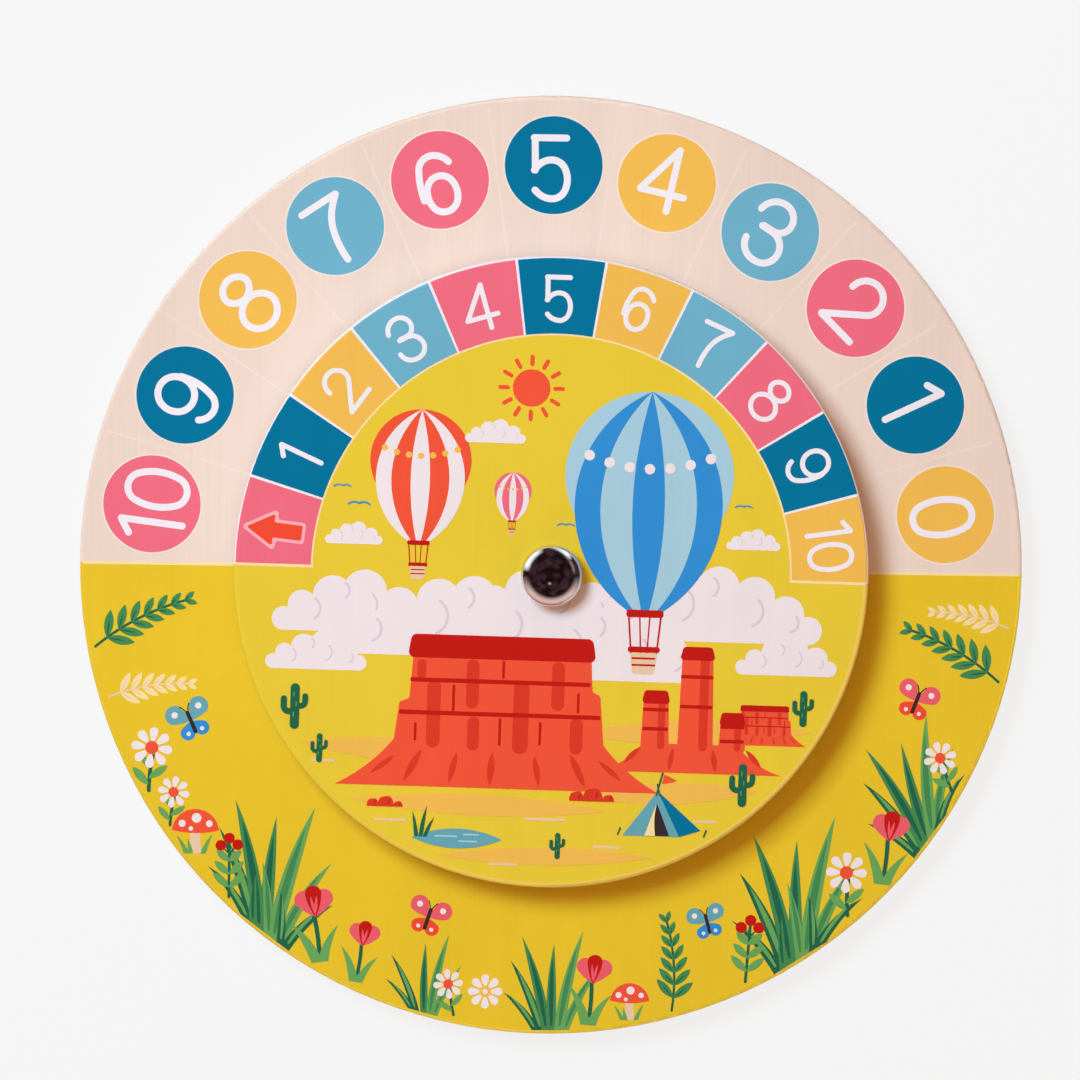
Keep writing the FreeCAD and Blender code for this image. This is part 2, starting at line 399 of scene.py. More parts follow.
def nylon(name, dark, pale):
    """Natural moulded nylon, slightly waxy."""
    finish = Finish(name)
    mottle = finish.noise(MOTTLE, 3.0)
    finish.principled(Base_Color=finish.mix(mottle, dark, pale), Roughness=mottle * 0.2 + 0.35,
                      IOR=1.53)
    finish.bump(mottle, 0.01 * MM, 0.4)
    return finish.material


# ---------------------------------------------------------------- drawing flat shapes

def direction(angle):
    """Unit vector in the board's plane, from an angle in degrees."""
    return Vector((math.cos(math.radians(angle)), math.sin(math.radians(angle)), 0))


def local(x, y, heading, distance):
    """The place reached from x, y after that distance on a heading in degrees."""
    step = direction(heading) * distance
    return x + step.x, y + step.y


def start_piece(name, materials):
    """An empty mesh in edit mode, with its finishes in its slots."""
    bpy.ops.object.select_all(action="DESELECT")
    bpy.ops.object.add(type="MESH", enter_editmode=True, location=(0, 0, 0))
    piece = bpy.context.object
    piece.name = piece.data.name = name
    for material in materials:
        piece.data.materials.append(material)
    return piece


def end_piece(piece, body, slot):
    """Leaves edit mode and ties the piece to its body. The record's finish that it is given is not
    used.
    """
    if piece.mode == "EDIT":
        bpy.ops.object.mode_set(mode="OBJECT")
    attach(piece, body)


def start_point(place):
    """A single point, selected, that an outline grows from."""
    bpy.ops.mesh.select_all(action="DESELECT")
    bpy.ops.mesh.primitive_circle_add(vertices=3, radius=SEED_RADIUS, location=place)
    bpy.ops.mesh.merge(type="CENTER")


def extrude(move):
    bpy.ops.mesh.extrude_region_move(TRANSFORM_OT_translate={"value": move})


def start_edge(start, end):
    """A single edge, selected, that a strip grows from."""
    start_point(start)
    extrude(Vector(end) - Vector(start))
    bpy.ops.mesh.select_linked()


def spin(turn, steps, centre, axis=(0, 0, 1), **settings):
    """Sweeps what is selected round an axis by that many degrees. The tool turns clockwise for
    a positive angle."""
    bpy.ops.mesh.spin(steps=steps, angle=-math.radians(turn), center=centre, axis=axis,
                      **settings)


def arc_steps(radius, turn):
    """How many straight runs stand for an arc."""
    step = 2 * math.acos(max(0.5, 1 - ARC_TOLERANCE / radius))
    return max(2, math.ceil(math.radians(abs(turn)) / step))


def side(start, end, turn):
    """Adds one side to the outline that is being traced: a straight run, or a round one that
    turns by that many degrees, to the left when positive."""
    chord = end - start
    if turn == 0:
        extrude(chord)
        return
    half = math.radians(turn) / 2
    left = Vector((-chord.y, chord.x, 0)) / chord.length
    centre = (start + end) / 2 + left * (chord.length / 2 / math.tan(half))
    radius = chord.length / 2 / abs(math.sin(half))
    spin(turn, arc_steps(radius, turn), centre)


def close_outline():
    """Selects all of the outline being traced and joins its end to its start."""
    bpy.ops.mesh.select_linked()
    bpy.ops.mesh.remove_doubles(threshold=SEED_RADIUS / 10)


def lift(height, finish):
    """Raises the selected flat faces into a closed film with that finish, left selected."""
    mesh = bmesh.from_edit_mesh(bpy.context.object.data)
    if any(face.select and face.normal.z < 0 for face in mesh.faces):
        bpy.ops.mesh.flip_normals()
    extrude((0, 0, height))
    bpy.ops.mesh.select_linked()
    bpy.context.object.active_material_index = finish
    bpy.ops.object.material_slot_assign()


def film(layer):
    """Height of an ink layer above the face that it is printed on."""
    sizes = bpy.context.scene.wheel_sizes
    return sizes.ink + layer * sizes.ink_step


def stations(x, y, heading, moves):
    """The turn of the move that leaves each station of a stroke's middle line, the station's
    place and its heading. A move is a length, or a radius and a turn. The last has no move."""
    found = []
    for move in moves:
        radius, turn = move if isinstance(move, tuple) else (None, 0)
        found.append((turn, x, y, heading))
        if radius is None:
            x, y = local(x, y, heading, move)
        else:
            inwards = math.copysign(90, turn)
            x, y = local(*local(x, y, heading + inwards, radius), heading + turn + inwards,
                         -radius)
        heading += turn
    found.append((0, x, y, heading))
    return found


def turns(points):
    """For each corner of a straight-sided outline: its place, the heading of the side that
    arrives there, and the turn to the next one."""
    for index, (x, y) in enumerate(points):
        (back_x, back_y), (next_x, next_y) = points[index - 1], points[(index + 1) % len(points)]
        arriving = math.degrees(math.atan2(y - back_y, x - back_x))
        leaving = math.degrees(math.atan2(next_y - y, next_x - x))
        yield x, y, arriving, (leaving - arriving + 180) % 360 - 180


def rounded(points, radius):
    """Corners for shape(), from a straight-sided outline whose corners are rounded."""
    corners = []
    for x, y, arriving, turn in turns(points):
        cut = radius * math.tan(math.radians(abs(turn)) / 2)
        corners += [(*local(x, y, arriving, -cut), turn), (*local(x, y, arriving + turn, cut), 0)]
    return corners


def grown(points, distance):
    """A straight-sided outline with every side moved outwards."""
    return [local(x, y, arriving + turn / 2 - 90, distance / math.cos(math.radians(turn) / 2))
            for x, y, arriving, turn in turns(points)]


def plain(points):
    """Corners for shape(), all sides straight."""
    return [(x, y, 0) for x, y in points]


BLADE_BELLY, PETAL_BELLY = 11.5, 24     # degrees that their sides swell by


class Sheet:
    """A place on a printed face, with its own axes and scale, where shapes are drawn."""

    def __init__(self, place=(0, 0, 0), turn=0.0, scale=1.0):
        self.place = Vector(place)
        self.turn = turn
        self.scale = scale

    def at(self, x, y, turn=0.0, scale=1.0):
        """A smaller sheet on this one."""
        return Sheet(self.point(x, y), self.turn + turn, self.scale * scale)

    def polar(self, radius, angle, turn=0.0, scale=1.0):
        """A smaller sheet at a radius and an angle from this one's origin."""
        return self.at(*local(0, 0, angle, radius), turn, scale)

    def raised(self, height):
        return Sheet(self.place + Vector((0, 0, height)), self.turn, self.scale)

    def point(self, x, y):
        along, across = direction(self.turn), direction(self.turn + 90)
        return self.place + (along * x + across * y) * self.scale

    def matrix(self):
        """Moves a drawing made round the origin to this sheet, keeping its film's height."""
        turned = Matrix.Rotation(math.radians(self.turn), 4, "Z")
        flat = Matrix.Diagonal((self.scale, self.scale, 1, 1))
        return Matrix.Translation(self.place) @ turned @ flat

    def shape(self, corners, layer, finish):
        """A filled shape. Each corner is x, y and the turn of the side that leaves it, in
        degrees, where 0 is straight. The outline goes round leftwards."""
        start_point(self.point(*corners[0][:2]))
        for corner, following in zip(corners, corners[1:] + corners[:1]):
            side(self.point(*corner[:2]), self.point(*following[:2]), corner[2])
        close_outline()
        bpy.ops.mesh.edge_face_add()
        lift(film(layer), finish)

    def disc(self, x, y, radius, layer, finish):
        self.shape([(x - radius, y, 180), (x + radius, y, 180)], layer, finish)

    def box(self, low, high, layer, finish, radius=0.0):
        """A rectangle between two opposite corners, its own corners rounded."""
        points = [low, (high[0], low[1]), high, (low[0], high[1])]
        self.shape(rounded(points, radius) if radius else plain(points), layer, finish)

    def leaf(self, x, y, heading, reach, width, layer, finish):
        """A leaf, pointed at both ends, that grows from x, y."""
        bend = math.degrees(4 * math.atan(width / reach))
        self.shape([(x, y, bend), (*local(x, y, heading, reach), bend)], layer, finish)

    def blade(self, x, y, heading, reach, width, bend, cut, layer, finish):
        """A blade of grass that bends on its way from x, y to its tip. The direction of the cut
        through its foot is in degrees."""
        half = width / 2 / math.cos(math.radians(heading - 90 - cut))
        left, right = local(x, y, cut, -half), local(x, y, cut, half)
        tip = local(x, y, heading + bend / 2, reach)
        self.shape([(*left, 0), (*right, BLADE_BELLY + bend), (*tip, BLADE_BELLY - bend)],
                   layer, finish)

    def petal(self, x, y, heading, reach, width, layer, finish):
        """A petal, narrow where it starts and with a round end."""
        radius = width / 2
        middle = local(x, y, heading, reach - radius)
        right, left = (local(*middle, heading + turn, radius) for turn in (-90, 90))
        self.shape([(x, y, PETAL_BELLY), (*right, 180), (*left, PETAL_BELLY)], layer, finish)

    def stroke(self, x, y, heading, width, moves, layer, finish):
        """A pen stroke with round ends."""
        right, left = [], []
        for turn, x, y, heading in stations(x, y, heading, moves):
            right.append((*local(x, y, heading - 90, width / 2), turn))
            left.append((*local(x, y, heading + 90, width / 2), -turn))
        bends = [turn for *_, turn in left[:-1]]
        back = [(left_x, left_y, bend) for (left_x, left_y, _), bend
                in zip(left[:0:-1], bends[::-1])]
        self.shape(right[:-1] + [(*right[-1][:2], 180)] + back + [(*left[0][:2], 180)],
                   layer, finish)

    def loop(self, x, y, heading, width, moves, layer, finish):
        """A pen stroke of arcs that ends where it began."""
        start_edge(*(self.point(*local(x, y, heading + turn, width / 2)) for turn in (-90, 90)))
        for (radius, turn), (_, x, y, heading) in zip(moves, stations(x, y, heading, moves)):
            centre = self.point(*local(x, y, heading + math.copysign(90, turn), radius))
            spin(turn, arc_steps((radius + width / 2) * self.scale, turn), centre)
        close_outline()
        lift(film(layer), finish)

    def half_ring(self, inner, outer, layer, finish):
        """The half of a flat ring that lies on the sheet's upper side."""
        start_edge(self.point(inner, 0), self.point(outer, 0))
        spin(180, arc_steps(outer * self.scale, 180), self.place)
        close_outline()
        lift(film(layer), finish)

    def around(self, x, y, count, span=360.0):
        """Repeats the shape drawn last, evenly round x, y."""
        gap = span / count if span == 360 else span / (count - 1)
        spin(gap * (count - 1), count - 1, self.point(x, y), dupli=True)


def model(name, finishes, draw, *details):
    """A motif drawn once, in millimetres round the origin, that copies() repeats."""
    piece = start_piece(name, finishes)
    draw(Sheet(scale=MM), *details)
    bpy.ops.object.mode_set(mode="OBJECT")
    return piece


def copies(name, placed, body, slot):
    """One piece joined from copies of models. Each has its model, the sheet that it goes to,
    and the finishes that it takes instead of its model's, by slot."""
    bpy.ops.object.select_all(action="DESELECT")
    made = []
    for source, sheet, finishes in placed:
        copy = source.copy()
        copy.data = source.data.copy()
        copy.data.transform(sheet.matrix())
        for index, finish in finishes.items():
            copy.data.materials[index] = finish
        bpy.context.collection.objects.link(copy)
        made.append(copy)
    for copy in made:
        copy.select_set(True)
    bpy.context.view_layer.objects.active = made[0]
    bpy.ops.object.join()
    piece = bpy.context.object
    piece.name = piece.data.name = name
    end_piece(piece, body, slot)
    return piece


def stacked(placed, step):
    """The same copies, each a share of a layer above the one before it, so that they may
    overlap."""
    rise = bpy.context.scene.wheel_sizes.ink_step * step
    return [(source, sheet.raised(rise * index), finishes)
            for index, (source, sheet, finishes) in enumerate(placed)]


def select_undersides(piece):
    """Goes into edit mode with the faces selected that look down."""
    bpy.ops.object.mode_set(mode="EDIT")
    bpy.ops.mesh.select_all(action="DESELECT")
    mesh = bmesh.from_edit_mesh(piece.data)
    for face in mesh.faces:
        if face.normal.z < UNDERSIDE:
            face.select_set(True)
    bmesh.update_edit_mesh(piece.data)


def seat(piece, top):
    """Brings the undersides of a piece's films down on the face that they are printed on."""
    select_undersides(piece)
    bpy.ops.transform.resize(value=(1, 1, 0), center_override=(0, 0, top))
    bpy.ops.object.mode_set(mode="OBJECT")


def discard(*models):
    for piece in models:
        bpy.data.objects.remove(piece)


RIM_STEPS = 6               # straight runs of a film on its way over the sanded rim


def rim_film(name, ink, wrap, start, span, layer):
    """A film on the dial from the sectors' inner edge out over the sanded rim, down to the wrap
    angle, that spans so many degrees from a start angle."""
    sizes = bpy.context.scene.wheel_sizes
    axis = Vector((DIAL_RADIUS - sizes.rim_rounding, 0, DIAL_TOP - sizes.rim_rounding))
    piece = start_piece(name, inks(ink))
    start_point((sizes.sector_inner, 0, DIAL_TOP))
    extrude((axis.x - sizes.sector_inner, 0, 0))
    spin(math.degrees(wrap), RIM_STEPS, axis, (0, 1, 0))
    bpy.ops.mesh.select_all(action="SELECT")
    spin(span, math.ceil(span), (0, 0, 0))      # a step for each degree
    bpy.ops.mesh.select_all(action="SELECT")
    mesh = bmesh.from_edit_mesh(piece.data)
    if sum(face.normal.z for face in mesh.faces) < 0:
        bpy.ops.mesh.flip_normals()
    bpy.ops.object.mode_set(mode="OBJECT")
    piece.data.transform(Matrix.Rotation(math.radians(start), 4, "Z"))
    solid = piece.modifiers.new("film", "SOLIDIFY")
    solid.thickness = film(layer)
    solid.offset = 1
    bpy.ops.object.modifier_apply(modifier=solid.name)
    return piece


# ---------------------------------------------------------------- numerals

def oval(x, y, half_width, half_height, lean=25.0):
    """A closed stroke, as x, y, heading and moves, of an oval made of four arcs."""
    sine, cosine = math.sin(math.radians(lean)), math.cos(math.radians(lean))
    excess = (half_height - half_width) / (sine + cosine - 1)
    end_radius = half_height - excess * sine
    side_radius = end_radius + excess
    start_x = x + half_width - side_radius * (1 - cosine)
    start_y = y - side_radius * sine
    moves = [(side_radius, 2 * lean), (end_radius, 180 - 2 * lean)] * 2
    return start_x, start_y, 90 - lean, moves


# Middle lines of the digits in a box one unit high, centred on 0, 0. Each stroke is x, y,
# heading and moves.
DIGIT_LOOPS = {
    0: [oval(0.035, -0.055, 0.295, 0.50, 22)],
    6: [oval(-0.02, -0.235, 0.25, 0.305)],
    8: [oval(-0.01, 0.255, 0.245, 0.21), oval(-0.005, -0.27, 0.315, 0.285)],
    9: [oval(-0.05, 0.14, 0.29, 0.31)],
}
DIGIT_STROKES = {
    1: [(-0.225, 0.315, 36, [0.27]), (0.0, 0.47, -89, [1.03])],
    2: [(-0.31, 0.2, 90, [0.035, (0.295, -180), (0.25, -44), 0.75]), (-0.3, -0.485, 4, [0.67])],
    3: [(-0.345, 0.25, 82, [(0.32, -82), (0.27, -90), (0.22, -90), 0.17]),
        (-0.17, 0.02, 0, [0.19, (0.29, -90), (0.27, -90), 0.04, (0.3, -82)])],
    4: [(0.055, 0.58, -120, [0.91]), (-0.4, -0.21, 4, [0.74]), (0.055, 0.58, -86, [1.04])],
    5: [(-0.33, 0.455, 0, [0.54]), (-0.315, 0.455, -89, [0.54]),
        (-0.32, -0.085, 54, [0.05, (0.32, -54), (0.245, -65), (0.44, -50), (0.235, -65),
                             (0.34, -45), 0.06])],
    6: [(-0.344, -0.27, 95, [(1.5, -20), (0.245, -84), (0.337, -52)])],
    7: [(-0.38, 0.445, 1, [0.66]), (0.286, 0.455, -135.5, [0.158, (0.9, 31), (1.55, 19)])],
    9: [(0.25, 0.2, -78, [(0.97, -37), (0.234, -76), (0.29, -54)])],
}
STROKE_STEP = 0.1           # share of a layer between strokes that cross each other
GROUND_LAYER, TINT_LAYER, LINE_LAYER, NUMERAL_LAYER = range(4)
TEN_ONE_X, TEN_ZERO_X = -0.31, 0.22     # digits of 10, from the middle, per unit of height
# How each of the dial's numerals is off its sector's middle: turn, and across and outwards per
# unit of height. The board's are true.
DIAL_DRIFT = {1: (0, -0.08, 0.01), 2: (2, -0.085, -0.035), 3: (-4, -0.07, -0.045),
              4: (-3, 0, -0.12), 5: (0, 0.01, -0.02), 6: (-3, 0.04, 0.06),
              7: (8.5, 0.07, 0.036), 8: (3, 0.06, 0.06), 9: (-2, 0.03, 0.04),
              10: (0, 0.075, 0.08)}


def draw_digit(sheet, digit, height, width):
    pen = sheet.at(0, 0, 0, height)
    strokes = [(pen.loop, stroke) for stroke in DIGIT_LOOPS.get(digit, ())]
    strokes += [(pen.stroke, stroke) for stroke in DIGIT_STROKES.get(digit, ())]
    for index, (draw, (x, y, heading, moves)) in enumerate(strokes):
        draw(x, y, heading, width, moves, NUMERAL_LAYER + index * STROKE_STEP, 0)


def numeral(digits, number, spot, height):
    """What copies() needs to set a number upright at a spot."""
    if number < 10:
        return [(digits[number], spot, {})]
    return [(digits[1], spot.at(TEN_ONE_X * height, 0), {}),
            (digits[0], spot.at(TEN_ZERO_X * height, 0), {})]


def dial_sheet():
    """The dial's face, turned as its print is."""
    return Sheet((0, 0, DIAL_TOP), math.degrees(bpy.context.scene.wheel_sizes.dial_turn))


def spots(centre, radius):
    """Sheets in the middle of each sector of the upper half, from the right, upright when at
    the top."""
    count = bpy.context.scene.wheel_sizes.sectors
    angles = [UPPER_HALF / count * (step + 0.5) for step in range(count)]
    return [centre.polar(radius, angle, angle - 90) for angle in angles]


def board_spots():
    """Sheets in the middle of the board's discs, from 0 to 10."""
    sizes = bpy.context.scene.wheel_sizes
    centre = Sheet((sizes.print_shift_x, sizes.print_shift_y, BOARD_TOP))
    return spots(centre, sizes.ring_radius)


def dial_spots():
    """Sheets in the middle of the dial's sectors, from the arrow at the left."""
    inner = bpy.context.scene.wheel_sizes.sector_inner
    return spots(dial_sheet(), (inner + DIAL_RADIUS) / 2)[::-1]


# Colours in turn round the board's discs from 0, and round the dial's sectors from the arrow.
DISC_TINTS = ("amber", "blue", "pink", "sky")
SECTOR_TINTS = ("pink", "blue", "amber", "sky")


# ---------------------------------------------------------------- materials by name

def inks(*names):
    """Print materials for those colours, made on first use."""
    colours = bpy.context.scene.wheel_colours
    found = []
    for name in names:
        material = bpy.data.materials.get("ink_" + name)
        found.append(material or print_ink("ink_" + name, getattr(colours, name)))
    return found


def recoloured(slots, *names):
    """Finishes that a copy takes instead of its model's, by slot."""
    return dict(zip(slots, inks(*names)))


def tinted(source, places, names):
    """What copies() needs to set a model at those places in colours that take turns."""
    tints = inks(*names)
    return [(source, place, {0: tints[step % len(tints)]}) for step, place in enumerate(places)]


def dress(material, *nodes):
    """Gives CAD nodes another finish."""
    for node in nodes:
        finishes = NODES[node].data.materials
        finishes.clear()
        finishes.append(material)


# ---------------------------------------------------------------- motifs, in millimetres

# A shape's layer and the slot of its finish come last, but for the rounding of a box. What
# lies over another shape is in a higher layer, and small shares keep like shapes apart that
# overlap.

ARROW_LENGTH, ARROW_HEAD, ARROW_WIDTH, ARROW_SHAFT = 12.9, 6.3, 7.5, 3.5
ARROW_EDGE = 0.75           # width of its pale outline
ARROW_ROUNDING = 0.35       # of the corners inside that outline
# The arrow from its sector's middle: turn, and millimetres across and outwards.
ARROW_DRIFT = (2.5, -1.1, 0.45)


def draw_arrow(sheet):
    """Arrow that points outwards: slots for outline and arrow."""
    tip, tail = ARROW_LENGTH / 2, -ARROW_LENGTH / 2
    neck, wide, thin = tip - ARROW_HEAD, ARROW_WIDTH / 2, ARROW_SHAFT / 2
    points = [(0, tip), (-wide, neck), (-thin, neck), (-thin, tail), (thin, tail), (thin, neck),
              (wide, neck)]
    sheet.shape(rounded(grown(points, ARROW_EDGE), ARROW_EDGE), LINE_LAYER, 0)
    sheet.shape(rounded(points, ARROW_ROUNDING), NUMERAL_LAYER, 1)


def draw_disc(sheet, radius, outline):
    """Disc on a larger one that shows as its outline: slots for disc and outline."""
    sheet.disc(0, 0, radius + outline, GROUND_LAYER, 1)
    sheet.disc(0, 0, radius, TINT_LAYER, 0)


BALLOON_TANGENT = -30.0     # angle at which the envelope turns from round to straight
BALLOON_MOUTH = (0.22, -1.62)   # half width and height of its mouth, per unit of radius
BALLOON_FULLNESS = 0.84     # how far a gore bulges, per unit of its share of the mouth


def gore(sheet, left, right, layer, finish):
    """A stripe of the envelope from its top to its mouth, between two sides that are given as
    shares of the mouth's half width."""
    mouth_x, mouth_y = BALLOON_MOUTH
    first, second = (math.degrees(4 * math.atan(2 * BALLOON_FULLNESS * share / (1 - mouth_y)))
                     for share in (left, right))
    sheet.shape([(0, 1, -first), (left * mouth_x, mouth_y, 0),
                 (right * mouth_x, mouth_y, second)], layer, finish)


def draw_balloon(sheet, radius):
    """Hot-air balloon with slots for envelope, gores, dark trim, basket and dots."""
    unit = sheet.at(0, 0, 0, radius)
    mouth_x, mouth_y = BALLOON_MOUTH
    shoulder = local(0, 0, BALLOON_TANGENT, 1)
    unit.shape([(*shoulder, 180 - 2 * BALLOON_TANGENT), (-shoulder[0], shoulder[1], 0),
                (-mouth_x, mouth_y, 0), (mouth_x, mouth_y, 0)], 3, 0)
    for left, right in ((-0.92, -0.6), (-0.2, 0.2), (0.6, 0.92)):
        gore(unit, left, right, 4, 1)
    for step in range(-3, 4):
        unit.disc(step * 0.24, 0.08 + 0.016 * step**2, 0.062, 5, 4)
    unit.box((-mouth_x, mouth_y - 0.07), (mouth_x, mouth_y + 0.02), 5, 2, 0.03)
    for way in (-1, 1):
        for x, lean, width in ((0.19, 5, 0.022), (0.06, 3, 0.018)):
            unit.stroke(way * x, mouth_y - 0.07, -90 - way * lean, width, [0.42], 4, 2)
    unit.shape(rounded([(-0.13, mouth_y - 0.75), (0.13, mouth_y - 0.75), (0.17, mouth_y - 0.45),
                        (-0.17, mouth_y - 0.45)], 0.04), 4, 3)
    unit.box((-0.19, mouth_y - 0.49), (0.19, mouth_y - 0.42), 5, 2, 0.03)
    for level in (0.56, 0.64):
        unit.box((-0.14, mouth_y - level - 0.012), (0.14, mouth_y - level + 0.012), 5, 2)


# Clouds: outline, width of the curls' strokes, and each curl's place, heading, radius and turn.
CLOUD = ([(-17, 0, 0), (17, 0, 185), (16.2, 6.0, 140), (8.5, 10.2, 150), (-1.5, 12.6, 130),
          (-9.5, 8.8, 150), (-15.5, 5.6, 190)], 0.55,
         [(4.0, 3.6, 20, 3.4, 120), (-9.0, 3.0, 30, 2.8, 120), (13.2, 3.2, 15, 1.9, 120),
          (-1.4, 8.4, 40, 2.2, 110)])
LONG_CLOUD = ([(-26, 0, 0), (26, 0, 190), (24.5, 6.6, 140), (17.5, 10.4, 150), (9, 14, 140),
               (0, 15.6, 140), (-8.5, 12, 150), (-16, 8.8, 130), (-23.5, 6.6, 190)], 0.6,
              [(12.5, 4.2, 20, 3.6, 120), (-4.0, 5.0, 25, 4.2, 120), (-18.0, 3.0, 20, 2.8, 120),
               (21.5, 3.0, 10, 2.2, 120), (3.0, 11.0, 35, 2.6, 110)])


def draw_cloud(sheet, outline, width, curls):
    """Cloud with a flat foot and round heaps: slots for cloud and curls."""
    sheet.shape(outline, 1, 0)
    for x, y, heading, radius, turn in curls:
        sheet.stroke(x, y, heading, width, [(radius, turn)], 1.2, 1)


def draw_mesa(sheet):
    """Flat-topped rock 66 mm wide and 31 mm high: slots for rock, shade and dark bands."""
    sheet.shape([(-33, 0, 0), (33, 0, -26), (21, 10, 0), (-21, 10, -26)], 2, 0)
    sheet.shape(rounded([(-21.5, 8), (21.5, 8), (20.4, 19.6), (18.8, 20.4), (18.2, 30),
                         (-17.6, 30), (-18.4, 18), (-20.4, 17.2)], 0.7), 2.1, 0)
    for x, low, high, width in ((-13.4, 9.4, 20.4, 2.8), (-5.2, 8.8, 13.4, 2.4),
                                (-5.6, 17.6, 25.0, 2.6), (4.4, 8.8, 20.6, 3.2),
                                (11.8, 17.6, 25.0, 2.6), (15.8, 8.8, 13.6, 2.6),
                                (-16.0, 23.0, 25.2, 1.8)):
        sheet.stroke(x, low, 90, width, [high - low], 2.4, 1)
    for x, y, heading, reach, width in ((-15.6, 7.6, -118, 7.6, 1.5), (-8.4, 7.2, -103, 6.6, 1.3),
                                        (-1.2, 7.4, -93, 6.9, 1.5), (7.4, 7.0, -80, 6.4, 1.3),
                                        (14.6, 7.6, -64, 7.6, 1.5), (20.4, 6.4, -40, 6.4, 1.1),
                                        (-21.0, 6.2, -142, 6.2, 1.1)):
        sheet.leaf(x, y, heading, reach, width, 2.5, 1)
    sheet.shape(rounded([(-19.0, 26.4), (19.4, 26.4), (18.6, 31.2), (-18.2, 31.2)], 1.2), 2.6, 2)
    for low, high, left, right in ((21.4, 22.3, -18.3, 18.4), (14.7, 15.6, -20.4, 20.6)):
        sheet.box((left, low), (right, high), 2.6, 2, 0.3)
    for x, low, high in ((-9.4, 15.8, 20.8), (0.2, 9.0, 14.2), (8.4, 9.4, 13.6),
                         (-17.0, 9.6, 12.8), (0.6, 22.8, 26.0), (16.0, 16.2, 19.8)):
        sheet.stroke(x, low, 90, 0.55, [high - low], 2.7, 2)


def draw_spires(sheet):
    """Three towers of rock 28 mm high on a slope: slots for rock, shade and dark bands."""
    sheet.shape([(-20, 0, 0), (20, 0, -34), (10, 6.5, 0), (-11, 6.5, -34)], 2, 0)
    towers = ((-8.4, 6.4, 18.0), (0.6, 8.0, 28.0), (8.8, 6.0, 13.5))
    for index, (x, width, height) in enumerate(towers):
        half = width / 2
        sheet.shape(rounded([(x - half, 5), (x + half, 5), (x + half * 0.84, height),
                             (x - half * 0.84, height)], 0.9), 2.1 + index * STROKE_STEP, 0)
        sheet.stroke(x + half * 0.42, 6.0, 90, half * 0.5, [height - 8.5], 2.5, 1)
        for level in (0.52, 0.76):
            sheet.box((x - half * 0.9, height * level), (x + half * 0.9, height * level + 0.8),
                      2.7, 2, 0.25)
        sheet.shape(rounded([(x - half, height - 2.6), (x + half, height - 2.6),
                             (x + half * 0.8, height + 0.4), (x - half * 0.8, height + 0.4)],
                            0.8), 2.8, 2)
    for x, heading in ((-11.5, -135), (-4.2, -100), (4.6, -82), (12.0, -48)):
        sheet.leaf(x, 5.6, heading, 5.2, 1.2, 2.9, 1)


def draw_tent(sheet):
    """Tent 20 mm wide: slots for canvas, darker side, door, flap, poles with pegs, and flag."""
    sheet.shape(plain([(-8.5, 0), (5.0, 0), (-0.6, 10.6)]), 3, 0)
    sheet.shape(plain([(4.7, 0), (9.6, 1.6), (-0.6, 10.6)]), 3.1, 1)
    sheet.shape(plain([(-3.2, 0.1), (2.4, 0.1), (-0.7, 7.8)]), 3.2, 2)
    sheet.shape([(-3.4, 0.1, 0), (-0.9, 0.1, -20), (-0.7, 7.9, 0)], 3.3, 3)
    sheet.stroke(-0.1, 9.6, 104, 0.4, [2.6], 3.4, 4)
    sheet.stroke(-0.9, 9.6, 76, 0.4, [5.4], 3.5, 4)
    sheet.shape(rounded([(0.3, 12.2), (3.9, 13.1), (0.8, 14.6)], 0.2), 3.6, 5)
    for x in (-9.6, 10.4):
        sheet.stroke(x, 0.2, 70, 0.35, [1.6], 3.6, 4)


def draw_pool(sheet):
    """Pool 21 mm wide with reeds: slots for water, ripples and reeds."""
    sheet.leaf(-10.5, 0, 0, 21, 4.6, 2, 0)
    for x, y, run in ((-5.0, 0.5, 5.0), (0.5, -0.6, 4.2), (1.6, 1.0, 3.4)):
        sheet.stroke(x, y, 0, 0.35, [run], 2.2, 1)
    for x, heading, reach, bend in ((-9.4, 96, 6.0, 8), (-8.4, 84, 7.4, -8), (-7.4, 74, 5.0, -16)):
        sheet.blade(x, 0.2, heading, reach, 0.9, bend, 0, 2.4 + x / 100, 2)


def draw_cactus(sheet):
    """Cactus 10 mm high with two arms: slots for body and ribs."""
    sheet.stroke(0, 0, 90, 2.2, [9.0], 4, 0)
    sheet.stroke(0, 3.2, 180, 1.5, [1.4, (1.3, -90), 1.8], 4.1, 0)
    sheet.stroke(0, 4.6, 0, 1.4, [1.3, (1.2, 90), 1.2], 4.2, 0)
    for x, y in ((-0.3, 2.0), (0.35, 4.6), (-0.25, 7.0)):
        sheet.stroke(x, y, 90, 0.26, [1.0], 5, 1)


def draw_stones(sheet):
    """Three stones at a rock's foot: slots for stone and its dark side."""
    for x, width, height in ((-3.4, 3.4, 2.2), (0.4, 4.6, 3.0), (4.0, 2.6, 1.6)):
        half = width / 2
        sheet.shape([(x - half, 0, 0), (x + half, 0, 50), (x + half * 0.5, height, 30),
                     (x - half * 0.7, height * 0.85, 50)], 3 + x / 100, 0)
        sheet.stroke(x + half * 0.35, height * 0.25, 84, 0.35, [height * 0.4], 3.2, 1)


def draw_bird(sheet):
    """Far bird, two arcs wide."""
    for heading, turn in ((150, 70), (30, -70)):
        sheet.stroke(0, 0, heading, 0.45, [(2.4, turn)], 2 + (turn > 0) * STROKE_STEP, 0)


def draw_sun(sheet):
    """Sun 14 mm across with twelve rays."""
    sheet.disc(0, 0, 4.3, 2, 0)
    sheet.stroke(5.5, 0, 0, 0.9, [1.7], 2, 0)
    sheet.around(0, 0, 12)


